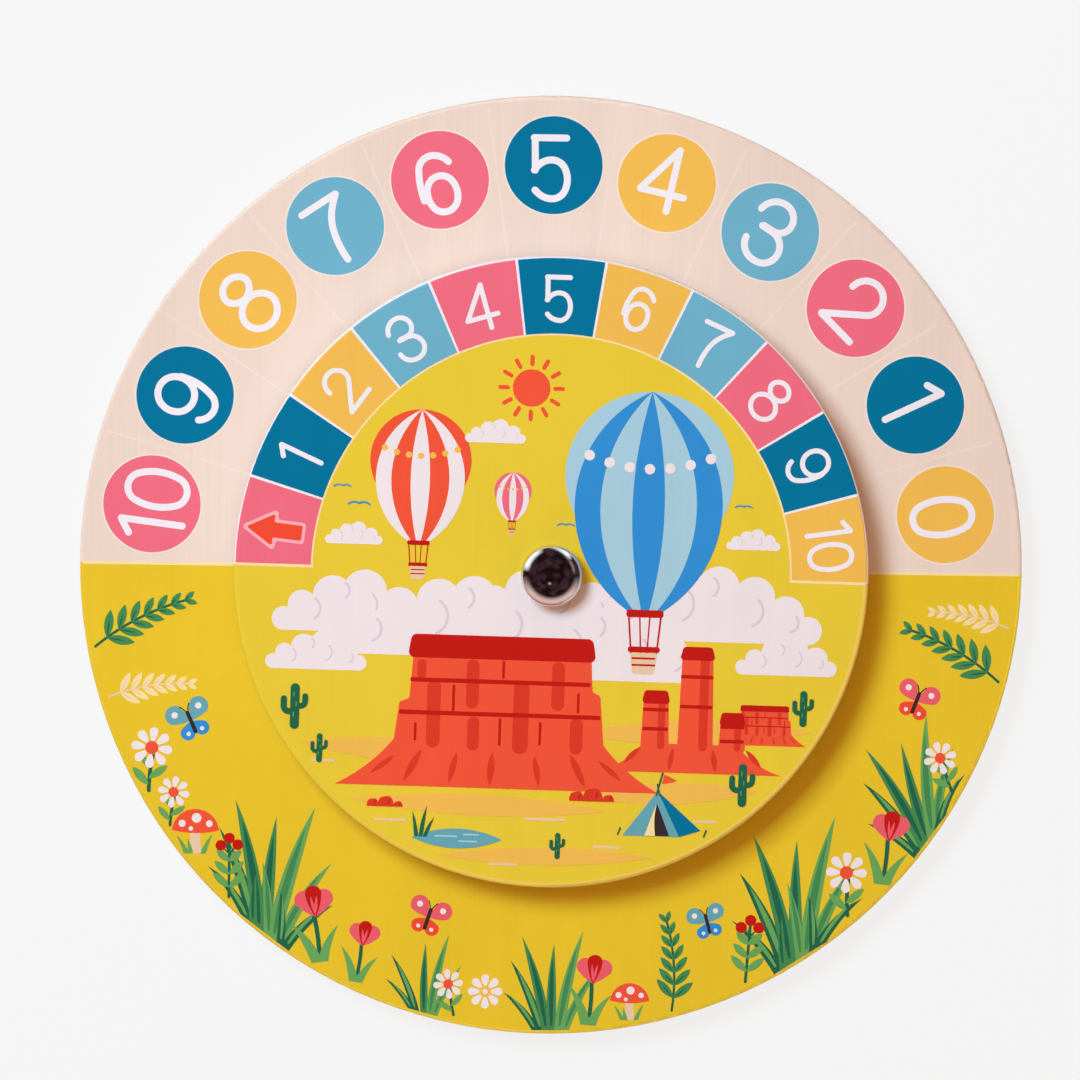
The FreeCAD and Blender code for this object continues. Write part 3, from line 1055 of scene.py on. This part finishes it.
def draw_tulip(sheet):
    """Tulip 15 mm high on its foot: slots for stem, leaf, petals and middle petal."""
    sheet.stroke(0, 0.4, 84, 0.8, [(40, 10), 1.5], 2, 0)
    sheet.blade(-0.5, 0, 104, 8.6, 2.0, 26, 0, 2.15, 1)
    sheet.blade(0.6, 0, 76, 7.2, 1.8, -30, 0, 2.25, 1)
    for heading in (118, 60):
        sheet.petal(0.3, 8.3, heading, 5.4, 3.4, 2.3 + heading / 1000, 2)
    sheet.petal(0.3, 8.2, 89, 5.8, 3.0, 2.6, 3)
    for heading in (80, 98):
        sheet.leaf(0.3, 8.6, heading, 3.6, 0.5, 2.7 + heading / 1000, 2)


def draw_daisy(sheet):
    """Daisy head 7 mm across: slots for petals and heart."""
    sheet.petal(0, 0.7, 90, 2.7, 1.55, 2.5, 0)
    sheet.around(0, 0, 8)
    sheet.disc(0, 0, 1.15, 2.8, 1)
    sheet.disc(0, 0, 0.5, 3, 0)


def draw_daisy_plant(sheet):
    """Daisy 12 mm high with its leaves: slots for stem, leaf, petals and heart."""
    sheet.stroke(0, 0.4, 98, 0.7, [(30, -14)], 2, 0)
    sheet.leaf(-0.2, 1.4, 140, 4.4, 1.5, 2.15, 1)
    sheet.leaf(-0.4, 2.6, 42, 4.2, 1.4, 2.25, 1)
    sheet.leaf(-0.5, 4.4, 128, 3.2, 1.1, 2.2, 1)
    sheet.petal(-0.6, 9.0, 90, 2.9, 1.6, 2.5, 2)
    sheet.around(-0.6, 8.2, 8)
    sheet.disc(-0.6, 8.2, 1.2, 2.8, 3)


def draw_butterfly(sheet):
    """Butterfly 12 mm across: slots for upper wings, lower wings, body and spots."""
    for turn in (-1, 1):
        sheet.petal(0, 0.4, 90 - turn * 50, 6.2, 4.6, 2 + turn / 100, 0)
        sheet.petal(0, 0.2, -90 + turn * 38, 4.6, 3.5, 1.5 + turn / 100, 1)
        sheet.disc(turn * 3.0, 3.0, 0.75, 3, 3)
        sheet.disc(turn * 1.7, -2.3, 0.5, 3, 3)
        sheet.stroke(turn * 0.2, 2.4, 90 - turn * 12, 0.24, [(4.5, -turn * 28)], 4, 2)
    sheet.stroke(0, -2.4, 90, 0.9, [4.8], 4.1, 2)


def draw_toadstool(sheet):
    """Toadstool 10 mm high: slots for cap, spots, stem and grass."""
    sheet.shape([(-1.3, 0, 0), (1.3, 0, -14), (1.0, 5.4, 0), (-1.0, 5.4, -14)], 2, 2)
    sheet.shape([(4.6, 4.6, 168), (-4.6, 4.6, 30)], 2.3, 0)
    for x, y, radius in ((0.2, 7.0, 0.95), (-2.6, 5.9, 0.7), (2.7, 5.9, 0.65), (-0.9, 4.9, 0.45)):
        sheet.disc(x, y, radius, 2.5, 1)
    for x, heading, reach, bend in ((-1.7, 112, 4.0, 14), (-0.9, 98, 3.0, 8), (1.5, 72, 4.2, -14)):
        sheet.blade(x, 0, heading, reach, 1.0, bend, 0, 2.6 + x / 100, 3)


# Blades of a big tuft: place along its foot, heading, length, width and bend.
BLADES = ((-4.4, 106, 29, 3.0, 16), (4.6, 72, 27, 3.0, -20), (-0.4, 92, 33, 3.2, -6),
          (-6.4, 118, 19, 2.7, 26), (2.4, 83, 39, 3.5, -12), (-2.4, 99, 37, 3.3, 12),
          (6.6, 62, 18, 2.6, -30), (0.8, 94, 21, 2.6, 10), (-4.6, 98, 14, 2.2, -14),
          (4.8, 86, 15, 2.2, 16))


def draw_grass(sheet, cut, count):
    """Tuft of long blades whose feet lie along the cut, in degrees, each with a narrow rib of
    the next green: slots for three greens."""
    for index, (along, heading, reach, width, bend) in enumerate(BLADES[:count]):
        x, y = local(0, 0, cut, along)
        layer = 1 + index * 0.09
        sheet.blade(x, y, heading, reach, width, bend, cut, layer, index % 3)
        x, y = local(x, y, heading, 1.5)
        sheet.blade(x, y, heading, reach * 0.8, width * 0.2, bend * 0.8, cut, layer + 0.04,
                    (index + 1) % 3)


def draw_fern(sheet, way):
    """Arched sprig 24 mm long with paired leaves, bending rightwards for a positive way: slots
    for stem and leaf."""
    moves = [(60, -3.4 * way)] * 7
    sheet.stroke(0, 0, 90 + 12 * way, 0.65, moves, 1.5, 0)
    for step, (_, x, y, heading) in enumerate(stations(0, 0, 90 + 12 * way, moves)[1:]):
        for turn in (-1, 1):
            aside = heading + turn * (46 - 3 * step)
            sheet.leaf(x, y, aside, 7.0 - 0.62 * step, 2.3 - 0.15 * step,
                       1.6 + step * 0.03 + turn * 0.01, 1)
            sheet.leaf(x, y, aside, 4.6 - 0.5 * step, 0.4, 1.85 + step * 0.01 + turn * 0.003, 0)


def draw_berries(sheet):
    """Upright sprig 15 mm high with paired leaves and berries: slots for stem, leaf, berry."""
    sheet.stroke(0, 0.3, 90, 0.6, [11.5], 2, 0)
    for level, reach in ((2.4, 4.6), (5.2, 4.2), (8.0, 3.6)):
        for turn in (-1, 1):
            sheet.leaf(0, level, 90 + turn * 48, reach, 1.6, 2.15 + turn / 100, 1)
    for x, y in ((0, 13.0), (-1.8, 11.4), (1.8, 11.6)):
        sheet.stroke(0, 9.6, math.degrees(math.atan2(y - 9.6, x)), 0.3, [math.hypot(x, y - 9.6)],
                     2.05 + x / 50, 0)
        sheet.disc(x, y, 1.15, 2.5, 2)


# ---------------------------------------------------------------- operators

class WHEEL_OT_boards(bpy.types.Operator):
    """Finish the two plywood boards"""
    bl_idname = "wheel.boards"
    bl_label = "Plywood boards"

    def execute(self, context):
        colours = context.scene.wheel_colours
        dress(plywood("board_plywood", colours, BOARD_LOW, BOARD_HIGH, wash=0.0,
                      ink=colours.yellow, bleed_and_highlight=colours.board_bleed_and_highlight), "base_board")
        dress(plywood("dial_plywood", colours, DIAL_LOW, DIAL_HIGH, wash=0.75,
                      ink=colours.dial_yellow, bleed_and_highlight=colours.dial_bleed_and_highlight,
                      turn=context.scene.wheel_sizes.dial_turn), "dial_disc")
        return {"FINISHED"}


class WHEEL_OT_fittings(bpy.types.Operator):
    """Finish the bolt, nuts, washers, bushing and dome"""
    bl_idname = "wheel.fittings"
    bl_label = "Metal and nylon fittings"

    def execute(self, context):
        colours = context.scene.wheel_colours
        dress(metal("zinc_plate", colours.zinc, roughness=0.28, wear=0.25),
              "pivot_bolt", "back_washer", "nut_washer", "lock_nut")
        dress(metal("turned_brass", colours.brass, roughness=0.25, wear=0.2), "dial_bushing")
        dress(metal("polished_chrome", colours.chrome, roughness=0.085, wear=0.05), "dome_nut")
        dress(nylon("natural_nylon", colours.nylon, colours.nylon_pale),
              "thrust_washer", "cap_washer")
        return {"FINISHED"}


class WHEEL_OT_board_ground(bpy.types.Operator):
    """Print the board's yellow lower field and its pale lines"""
    bl_idname = "wheel.board_ground"
    bl_label = "Board field and lines"

    def execute(self, context):
        sizes = context.scene.wheel_sizes
        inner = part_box("thrust_washer")[1].x + sizes.hole_margin
        reach = BOARD_RADIUS - sizes.rim_rounding
        sheet = Sheet((0, 0, BOARD_TOP))
        field = start_piece("board_yellow_field", inks("yellow"))
        sheet.at(0, 0, 180).half_ring(inner, reach, GROUND_LAYER, 0)
        end_piece(field, *ON_BOARD)
        lines = start_piece("board_lines", inks("cream", "faint"))
        half = sizes.field_line / 2
        for left, right in ((-reach, -inner), (inner, reach)):
            sheet.box((left, -half), (right, half), LINE_LAYER, 0)
        printed = sheet.at(sizes.print_shift_x, sizes.print_shift_y)
        span, count = UPPER_HALF / sizes.sectors, sizes.sectors - 1
        start, end = DIAL_RADIUS - sizes.line_start, BOARD_RADIUS - sizes.line_margin
        half = sizes.board_line / 2
        printed.at(0, 0, span).box((start, -half), (end, half), GROUND_LAYER, 1)
        printed.around(0, 0, count, span * (count - 1))
        end_piece(lines, *ON_BOARD)
        return {"FINISHED"}


class WHEEL_OT_board_discs(bpy.types.Operator):
    """Print the board's ring of coloured discs"""
    bl_idname = "wheel.board_discs"
    bl_label = "Board discs"

    def execute(self, context):
        sizes = context.scene.wheel_sizes
        disc = model("disc", inks("blue", "halo"), draw_disc, sizes.disc_radius / MM,
                     sizes.disc_outline / MM)
        copies("board_number_discs", tinted(disc, board_spots(), DISC_TINTS), *ON_BOARD)
        discard(disc)
        return {"FINISHED"}


class WHEEL_OT_dial_ground(bpy.types.Operator):
    """Print the dial's yellow ground, the ring of sectors and its lines"""
    bl_idname = "wheel.dial_ground"
    bl_label = "Dial ground and sectors"

    def execute(self, context):
        sizes = context.scene.wheel_sizes
        sheet = dial_sheet()
        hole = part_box("dial_bushing")[1].x + sizes.hole_margin
        ground = start_piece("dial_ground_and_lines", inks("dial_yellow", "cream"))
        sheet.at(0, 0, 180).half_ring(hole, DIAL_RADIUS - sizes.dial_margin, GROUND_LAYER, 0)
        sheet.half_ring(hole, sizes.sector_inner, GROUND_LAYER, 0)
        half = sizes.arc_line / 2
        sheet.half_ring(sizes.sector_inner - half, sizes.sector_inner + half, LINE_LAYER, 1)
        half = sizes.sector_line / 2
        near, far = sizes.sector_inner - half, DIAL_RADIUS - sizes.rim_rounding
        for left, right in ((-far, -near), (near, far)):
            sheet.box((left, -half), (right, half), LINE_LAYER + STROKE_STEP, 1)
        end_piece(ground, *ON_DIAL)
        white = rim_film("dial_sector_lines", "white", sizes.line_wrap, sheet.turn, UPPER_HALF,
                         GROUND_LAYER)
        end_piece(white, *ON_DIAL)
        gap = math.degrees(sizes.sector_line / DIAL_RADIUS)
        span = UPPER_HALF / sizes.sectors
        sector = rim_film("sector", "blue", sizes.sector_wrap, sheet.turn + gap / 2, span - gap,
                          TINT_LAYER)
        places = [Sheet(turn=UPPER_HALF - span * (step + 1)) for step in range(sizes.sectors)]
        copies("dial_sectors", tinted(sector, places, SECTOR_TINTS), *ON_DIAL)
        discard(sector)
        return {"FINISHED"}


class WHEEL_OT_numerals(bpy.types.Operator):
    """Print the numerals on the board's discs and on the dial's sectors"""
    bl_idname = "wheel.numerals"
    bl_label = "Numerals"

    def execute(self, context):
        sizes = context.scene.wheel_sizes
        height = sizes.disc_numeral
        small = sizes.sector_numeral
        digits = [model(f"digit_{digit}", inks("white"), draw_digit, digit, height / MM,
                        sizes.numeral_stroke) for digit in range(10)]
        board = []
        for number, spot in enumerate(board_spots()):
            board += numeral(digits, number, spot, height)
        copies("board_numerals", board, *ON_BOARD)
        dial = []
        for number, spot in enumerate(dial_spots()[1:], 1):
            drift, across, outwards = DIAL_DRIFT[number]
            spot = spot.at(across * small, outwards * small, drift, small / height)
            dial += numeral(digits, number, spot, height)
        copies("dial_numerals", dial, *ON_DIAL)
        discard(*digits)
        return {"FINISHED"}


class WHEEL_OT_arrow(bpy.types.Operator):
    """Print the dial's arrow in its sector at the left"""
    bl_idname = "wheel.arrow"
    bl_label = "Dial arrow"

    def execute(self, context):
        piece = start_piece("dial_arrow", inks("arrow_edge", "arrow"))
        drift, across, outwards = ARROW_DRIFT
        draw_arrow(dial_spots()[0].at(across * MM, outwards * MM, drift, MM))
        end_piece(piece, *ON_DIAL)
        return {"FINISHED"}


class WHEEL_OT_dial_picture(bpy.types.Operator):
    """Print the dial's picture of balloons over red rocks"""
    bl_idname = "wheel.dial_picture"
    bl_label = "Dial picture"

    def execute(self, context):
        sheet = dial_sheet()
        cloud, long_cloud = (model(name, inks("cloud", "mist"), draw_cloud, *details)
                             for name, details in (("cloud", CLOUD), ("long_cloud", LONG_CLOUD)))
        bank = [(cloud, -46, -15, 0.95), (long_cloud, 34.8, -14.7, 0.98), (cloud, 55, -22, 0.6),
                (cloud, -1.5, -12.5, 0.95), (long_cloud, -22, -20, 1.05), (cloud, -54, -24, 0.6),
                (long_cloud, 9, -24.5, 0.95), (cloud, -14, 30, 0.36), (cloud, -46, 5.5, 0.34),
                (cloud, 46.5, 7, 0.32)]
        self.set_out("picture_clouds", sheet, bank, step=0.3)

        dunes = start_piece("picture_dunes", inks("amber", "tan"))
        page = sheet.at(0, 0, 0, MM)
        for step, (x, y, heading, reach, width) in enumerate(
                ((-57, -41, -3, 56, 6.0), (6, -37, 2, 56, 5.6), (-45, -54, -1, 60, 5.0),
                 (8, -51.5, 3, 42, 5.0), (-25, -66.5, 1, 51, 4.2))):
            page.leaf(x, y, heading, reach, width, 4 + step * STROKE_STEP, 0)
        for x, y, run in ((-54, -45.2, 5), (-39, -58.6, 7), (35, -56.8, 5), (-4, -57.4, 9),
                          (-12, -68.2, 6), (12, -63.5, 6)):
            page.stroke(x, y, 0, 0.6, [run], 4.8, 1)
        end_piece(dunes, *ON_DIAL)

        rocks = inks("rock", "shade", "strata")
        mesa, spires = model("mesa", rocks, draw_mesa), model("spires", rocks, draw_spires)
        self.set_out("picture_rocks", sheet, [(mesa, 50.5, -38.5, 0.3), (spires, 34, -45.5, 1.04),
                                              (mesa, -11, -50.5, 1.14)], step=1.0, base=3.2)

        balloon = model("balloon", inks("pale_blue", "mid_blue", "strata", "tan", "cloud"),
                        draw_balloon, 19.5)
        red, pink = (recoloured((0, 1, 4), envelope, "cloud", "amber")
                     for envelope in ("rock", "pink"))
        balloons = [(balloon, self.spot(sheet, 22, 23.5), {}),
                    (balloon, self.spot(sheet, -31, 25.5, 0.6), red),
                    (balloon, self.spot(sheet, -9.5, 19, 0.22), pink)]
        copies("picture_balloons", balloons, *ON_DIAL)

        sun = model("sun", inks("rock"), draw_sun)
        bird = model("bird", inks("mid_blue"), draw_bird)
        cactus = model("cactus", inks("stem", "leaf"), draw_cactus)
        stones = model("stones", inks("shade", "strata"), draw_stones)
        tent = model("tent", inks("teal", "blue", "dark", "cream", "stem", "rock"), draw_tent)
        pool = model("pool", inks("teal", "pale_blue", "stem"), draw_pool)
        details = [(sun, -6, 43, 1.0), (bird, -45, 15, 0.9), (bird, -49, 19, 0.7),
                   (bird, 3, 11.5, 0.7), (bird, 44, 17, 0.7),
                   (cactus, -58.5, -37, 0.95), (cactus, 59.5, -33, 0.75),
                   (cactus, -52.5, -45, 0.6), (cactus, 46, -52, 0.9), (cactus, 3.5, -66, 0.55),
                   (stones, 11, -52.8, 1.0), (stones, -37, -55.5, 0.8),
                   (tent, 27, -60.5, 1.0), (pool, -20, -62.5, 1.0)]
        self.set_out("picture_details", sheet, details, step=0.07, base=5)
        discard(cloud, long_cloud, mesa, spires, balloon, sun, bird, cactus, stones, tent, pool)
        return {"FINISHED"}

    def set_out(self, name, sheet, plan, step, base=0.0):
        """One piece of the picture from models, each with its place in millimetres and size.
        They are stacked in order, by a share of a layer each, from a base that is also in
        layers."""
        height = bpy.context.scene.wheel_sizes.ink_step * base
        placed = [(source, self.spot(sheet, x, y, scale).raised(height), {})
                  for source, x, y, scale in plan]
        seat(copies(name, stacked(placed, step), *ON_DIAL), DIAL_TOP)

    @staticmethod
    def spot(sheet, x, y, scale=1.0):
        """A place in the picture, in millimetres, for a copy that is drawn in metres."""
        return sheet.at(x * MM, y * MM, 0, scale)


GARDEN_STEP = 0.013         # share of a layer between motifs of the garden that overlap
TUFT_RADIUS = 109.0         # millimetres from the pivot to the foot of a tuft


class WHEEL_OT_garden(bpy.types.Operator):
    """Print the garden round the board's lower half"""
    bl_idname = "wheel.garden"
    bl_label = "Garden print"

    def execute(self, context):
        board = Sheet((0, 0, BOARD_TOP))
        greens = inks("stem", "leaf", "blade")
        tulip = model("tulip", inks("stem", "leaf", "petal", "strata"), draw_tulip)
        daisy = model("daisy", inks("cloud", "amber"), draw_daisy)
        plant = model("daisy_plant", inks("stem", "leaf", "cloud", "rock"), draw_daisy_plant)
        butterfly = model("butterfly", inks("teal", "mid_blue", "dark", "cloud"), draw_butterfly)
        toadstool = model("toadstool", inks("rock", "cloud", "tan", "leaf"), draw_toadstool)
        berries = model("berries", inks("stem", "leaf", "strata"), draw_berries)
        ferns = [model(name, inks("stem", "blade"), draw_fern, way)
                 for name, way in (("left_fern", 1), ("right_fern", -1))]
        # Tufts: angle on the board, turn, size and number of blades.
        tufts = [(model(f"tuft_{angle}", greens, draw_grass, angle - 270 - turn, count), angle,
                  TUFT_RADIUS, turn, size, {})
                 for angle, turn, size, count in ((233, -4, 0.84, 10), (255, 0, 0.5, 5),
                                                  (271, 0, 0.62, 6), (303, 2, 0.86, 10),
                                                  (325, 17, 0.72, 7))]
        pink_wings = recoloured((0, 1), "petal", "arrow")
        straw = recoloured((0, 1), "tan", "cream")
        # Motif, angle on the board, radius in millimetres, turn, size and finishes.
        plan = tufts + [
            (ferns[0], 190.5, 108, -62, 0.95, {}), (ferns[0], 197, 107.5, -80, 0.75, straw),
            (butterfly, 204, 91.5, 24, 1.0, {}),
            (plant, 210, 108, -8, 1.3, {}), (plant, 215, 108, -10, 1.0, {}),
            (toadstool, 219.6, 107.0, 0, 1.2, {}), (berries, 226.6, 108.4, 0, 1.1, {}),
            (tulip, 240.5, 107.5, 8, 1.3, {}), (tulip, 245.6, 107.8, -8, 1.05, {}),
            (butterfly, 251.5, 87.5, -18, 0.95, pink_wings),
            (daisy, 262, 101, 0, 1.2, {}), (plant, 258.6, 108.2, 6, 0.95, {}),
            (tulip, 275.4, 108.2, -4, 1.2, {}), (toadstool, 280.6, 108.2, 0, 1.0, {}),
            (ferns[1], 286, 108.2, 4, 0.85, {}), (butterfly, 294.5, 91.5, 15, 0.85, {}),
            (berries, 295.8, 108, -4, 1.15, {}),
            (plant, 311, 107.8, -2, 1.3, {}), (tulip, 317, 107.6, -6, 1.25, {}),
            (plant, 331.5, 107.8, 16, 1.05, {}),
            (butterfly, 340.5, 91, -20, 0.95, pink_wings),
            (ferns[1], 346.5, 108, 60, 0.95, {}), (ferns[1], 353.3, 107.8, 78, 0.7, straw),
        ]
        placed = [(motif, board.polar(radius * MM, angle, turn, size), finishes)
                  for motif, angle, radius, turn, size, finishes in plan]
        seat(copies("garden_print", stacked(placed, GARDEN_STEP), *ON_BOARD), BOARD_TOP)
        discard(tulip, daisy, plant, butterfly, toadstool, berries, *ferns,
                *(tuft[0] for tuft in tufts))
        return {"FINISHED"}


class WHEEL_OT_stage(bpy.types.Operator):
    """Set the table, the studio light and the camera"""
    bl_idname = "wheel.stage"
    bl_label = "Table, light and camera"

    # In metres.
    TABLE_SIZE, TABLE_GAP = 8.0, 0.02 * MM
    TENT_RADIUS, TENT_HEIGHT, TENT_MIDDLE = 2.0, 2.6, 1.36
    CARD_DISTANCE = 0.9         # from the pivot
    KEY_PLACE = Vector((-0.71, 0.76, 1.59))
    TENT_PATCHES = (0.95,) * 3  # features per metre
    # Where a card is at full brightness: up to this share of its half span to each side, and
    # between these shares of its height.
    FULL_SPAN, FULL_LOW, FULL_HIGH = 0.55, 0.2, 0.45

    def execute(self, context):
        stage = context.scene.wheel_stage
        context.scene.view_settings.view_transform = "Standard"
        self.table(stage)
        self.tent(stage)
        self.key_light(stage)
        self.world(context.scene, stage)
        self.camera(context.scene, stage)
        return {"FINISHED"}

    def table(self, stage):
        """Pale table that keeps the wheel's soft shadow."""
        bpy.ops.object.select_all(action="DESELECT")
        bpy.ops.mesh.primitive_plane_add(size=self.TABLE_SIZE, location=(0, 0, -self.TABLE_GAP))
        table = bpy.context.object
        table.name = "table_top"
        paint = Finish("table_paint")
        seen = paint.node("ShaderNodeLightPath").value("Is Camera Ray")
        paint.principled(Base_Color=stage.table, Roughness=0.9, Specular_IOR_Level=0.1)
        glow = paint.node("ShaderNodeEmission", None, {"Color": stage.background})
        paint.blend(seen * stage.table_glow, glow)
        table.data.materials.append(paint.material)

    def tent(self, stage):
        """Dark room without a floor, and bright cards in it, which only the chrome sees."""
        bpy.ops.object.select_all(action="DESELECT")
        bpy.ops.mesh.primitive_cylinder_add(vertices=64, radius=self.TENT_RADIUS,
                                            depth=self.TENT_HEIGHT, end_fill_type="NGON",
                                            location=(0, 0, self.TENT_MIDDLE))
        room = bpy.context.object
        room.name = "dark_tent"
        select_undersides(room)
        bpy.ops.mesh.delete(type="FACE")
        bpy.ops.object.mode_set(mode="OBJECT")
        paint = Finish("dark_tent")
        patches = paint.noise(self.TENT_PATCHES, 2.5).between(0.4, 0.66)
        paint.principled(Base_Color=(0, 0, 0), Specular_IOR_Level=0.0, Emission_Strength=1.0,
                         Emission_Color=paint.mix(patches, stage.tent_dark, stage.tent_light))
        self.mirrored_only(room, paint)
        # Name, first angle, span, lowest and highest angle above the table, lean and the angle
        # of the side that it raises, colour and brightness.
        white, pink = (1.0, 1.0, 1.0), stage.pink_card
        for card in (("left_card", 110, 66, 1, 23, 6, 200, white, 1.4),
                     ("top_card", 34, 72, 1, 15, 14, 0, white, 1.4),
                     ("low_card", 184, 172, 0, 28, 0, 0, pink, 1.1),
                     ("side_card", -2, 62, 14, 25, 6, 0, pink, 0.45),
                     ("glint_card", 249, 20, 63, 71, 0, 0, pink, 1.0)):
            self.card(stage, *card)

    def card(self, stage, name, start, span, low, high, lean, raised, shade, strength):
        """A curved card that stands round the wheel, leans so that one side of its circle is
        raised, and fades into the dark at its edges."""
        away = self.CARD_DISTANCE
        foot, head = (away * math.tan(math.radians(angle)) for angle in (low, high))
        card = start_piece(name, [])
        start_edge(*(direction(start) * away + Vector((0, 0, z)) for z in (foot, head)))
        spin(span, math.ceil(span / 4), (0, 0, 0))
        bpy.ops.object.mode_set(mode="OBJECT")
        leaning = Matrix.Rotation(math.radians(lean), 3, direction(raised - 90))
        card.data.transform(leaning.to_4x4())
        paint = Finish(name)
        axes = paint.node("ShaderNodeSeparateXYZ", None, {0: paint.place()})

        def reach(way):
            """How far a point of the leaning card lies that way."""
            x, y, z = leaning @ way
            return axes.value("X") * x + axes.value("Y") * y + axes.value("Z") * z

        half, tall = math.radians(span / 2), head - foot
        height, along = reach(Vector((0, 0, 1))), reach(direction(start + span / 2))
        fade = along.between(away * math.cos(half), away * math.cos(half * self.FULL_SPAN))
        fade = fade * height.between(foot, foot + tall * self.FULL_LOW)
        fade = fade * (1 - height.between(foot + tall * self.FULL_HIGH, head))
        faded = paint.mix(fade, stage.tent_dark, shade)
        glow = paint.node("ShaderNodeEmission", None, {"Color": faded, "Strength": strength})
        paint.blend(1.0, glow)
        self.mirrored_only(card, paint)

    @staticmethod
    def mirrored_only(card, paint):
        """A card that lights nothing and shows only in mirror finishes."""
        card.data.materials.append(paint.material)
        card.visible_camera = card.visible_diffuse = card.visible_shadow = False
        card.visible_transmission = card.visible_volume_scatter = False

    def key_light(self, stage):
        """A square soft box at the upper left."""
        bpy.ops.object.light_add(type="AREA", location=self.KEY_PLACE)
        lamp = bpy.context.object
        lamp.name = "key_light"
        lamp.data.size = stage.key_size
        lamp.data.energy = stage.key_power
        lamp.data.color = stage.key_tint
        lamp.rotation_euler = (-self.KEY_PLACE).to_track_quat("-Z", "Y").to_euler()
        lamp.visible_glossy = False

    @staticmethod
    def world(scene, stage):
        """Even light from all round, and a plain pale wall behind everything."""
        scene.world = scene.world or bpy.data.worlds.new("studio")
        scene.world.use_nodes = True
        sky = Tree(scene.world.node_tree)
        sky.tree.nodes.clear()
        rays = sky.node("ShaderNodeLightPath")
        seen = rays.value("Is Camera Ray")
        for ray in ("Is Glossy Ray", "Is Transmission Ray"):
            seen = seen.highest(rays.value(ray))
        light, wall = (sky.node("ShaderNodeBackground", None, {"Color": tint, "Strength": power})
                       for tint, power in ((stage.fill_tint, stage.fill),
                                           (stage.background, 1.0)))
        both = sky.node("ShaderNodeMixShader", None,
                        {0: seen, 1: light.value(0), 2: wall.value(0)})
        sky.node("ShaderNodeOutputWorld", None, {0: both.value(0)})

    @staticmethod
    def camera(scene, stage):
        """The view from just above the board's top, almost straight down on its face."""
        bpy.ops.object.camera_add()
        view = bpy.context.object
        view.name = "camera"
        view.data.lens = stage.lens
        view.data.clip_end = 50     # metres, beyond the table's far edge
        turned = (Matrix.Rotation(stage.roll, 4, "Z") @ Matrix.Rotation(stage.pan, 4, "Y")
                  @ Matrix.Rotation(stage.tilt, 4, "X"))
        moved = Matrix.Translation((stage.aim_x, stage.aim_y, -stage.distance))
        view.matrix_world = (moved @ turned).inverted()
        scene.camera = view


class WHEEL_PT_panel(bpy.types.Panel):
    """Steps that finish the wheel, in order"""
    bl_idname = "WHEEL_PT_panel"
    bl_label = "Number bond wheel"
    bl_space_type = "VIEW_3D"
    bl_region_type = "UI"
    bl_category = "Wheel"

    def draw(self, context):
        for operator in OPERATORS:
            self.layout.operator(operator.bl_idname)
        for group in (context.scene.wheel_sizes, context.scene.wheel_colours,
                      context.scene.wheel_stage):
            for name in group.bl_rna.properties.keys():
                if name not in ("rna_type", "name"):
                    self.layout.prop(group, name)


OPERATORS = (WHEEL_OT_boards, WHEEL_OT_fittings, WHEEL_OT_board_ground, WHEEL_OT_board_discs,
             WHEEL_OT_dial_ground, WHEEL_OT_numerals, WHEEL_OT_arrow, WHEEL_OT_dial_picture,
             WHEEL_OT_garden, WHEEL_OT_stage)
GROUPS = {"wheel_sizes": WheelSizes, "wheel_colours": WheelColours, "wheel_stage": WheelStage}


def register():
    for group in GROUPS.values():
        bpy.utils.register_class(group)
    for name, group in GROUPS.items():
        setattr(bpy.types.Scene, name, PointerProperty(type=group))
    for operator in OPERATORS:
        bpy.utils.register_class(operator)
    bpy.utils.register_class(WHEEL_PT_panel)


def unregister():
    bpy.utils.unregister_class(WHEEL_PT_panel)
    for operator in reversed(OPERATORS):
        bpy.utils.unregister_class(operator)
    for name, group in GROUPS.items():
        delattr(bpy.types.Scene, name)
        bpy.utils.unregister_class(group)


def main():
    register()
    for operator in OPERATORS:
        family, step = operator.bl_idname.split(".")
        getattr(getattr(bpy.ops, family), step)()
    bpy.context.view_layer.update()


if __name__ == "__main__":
    main()
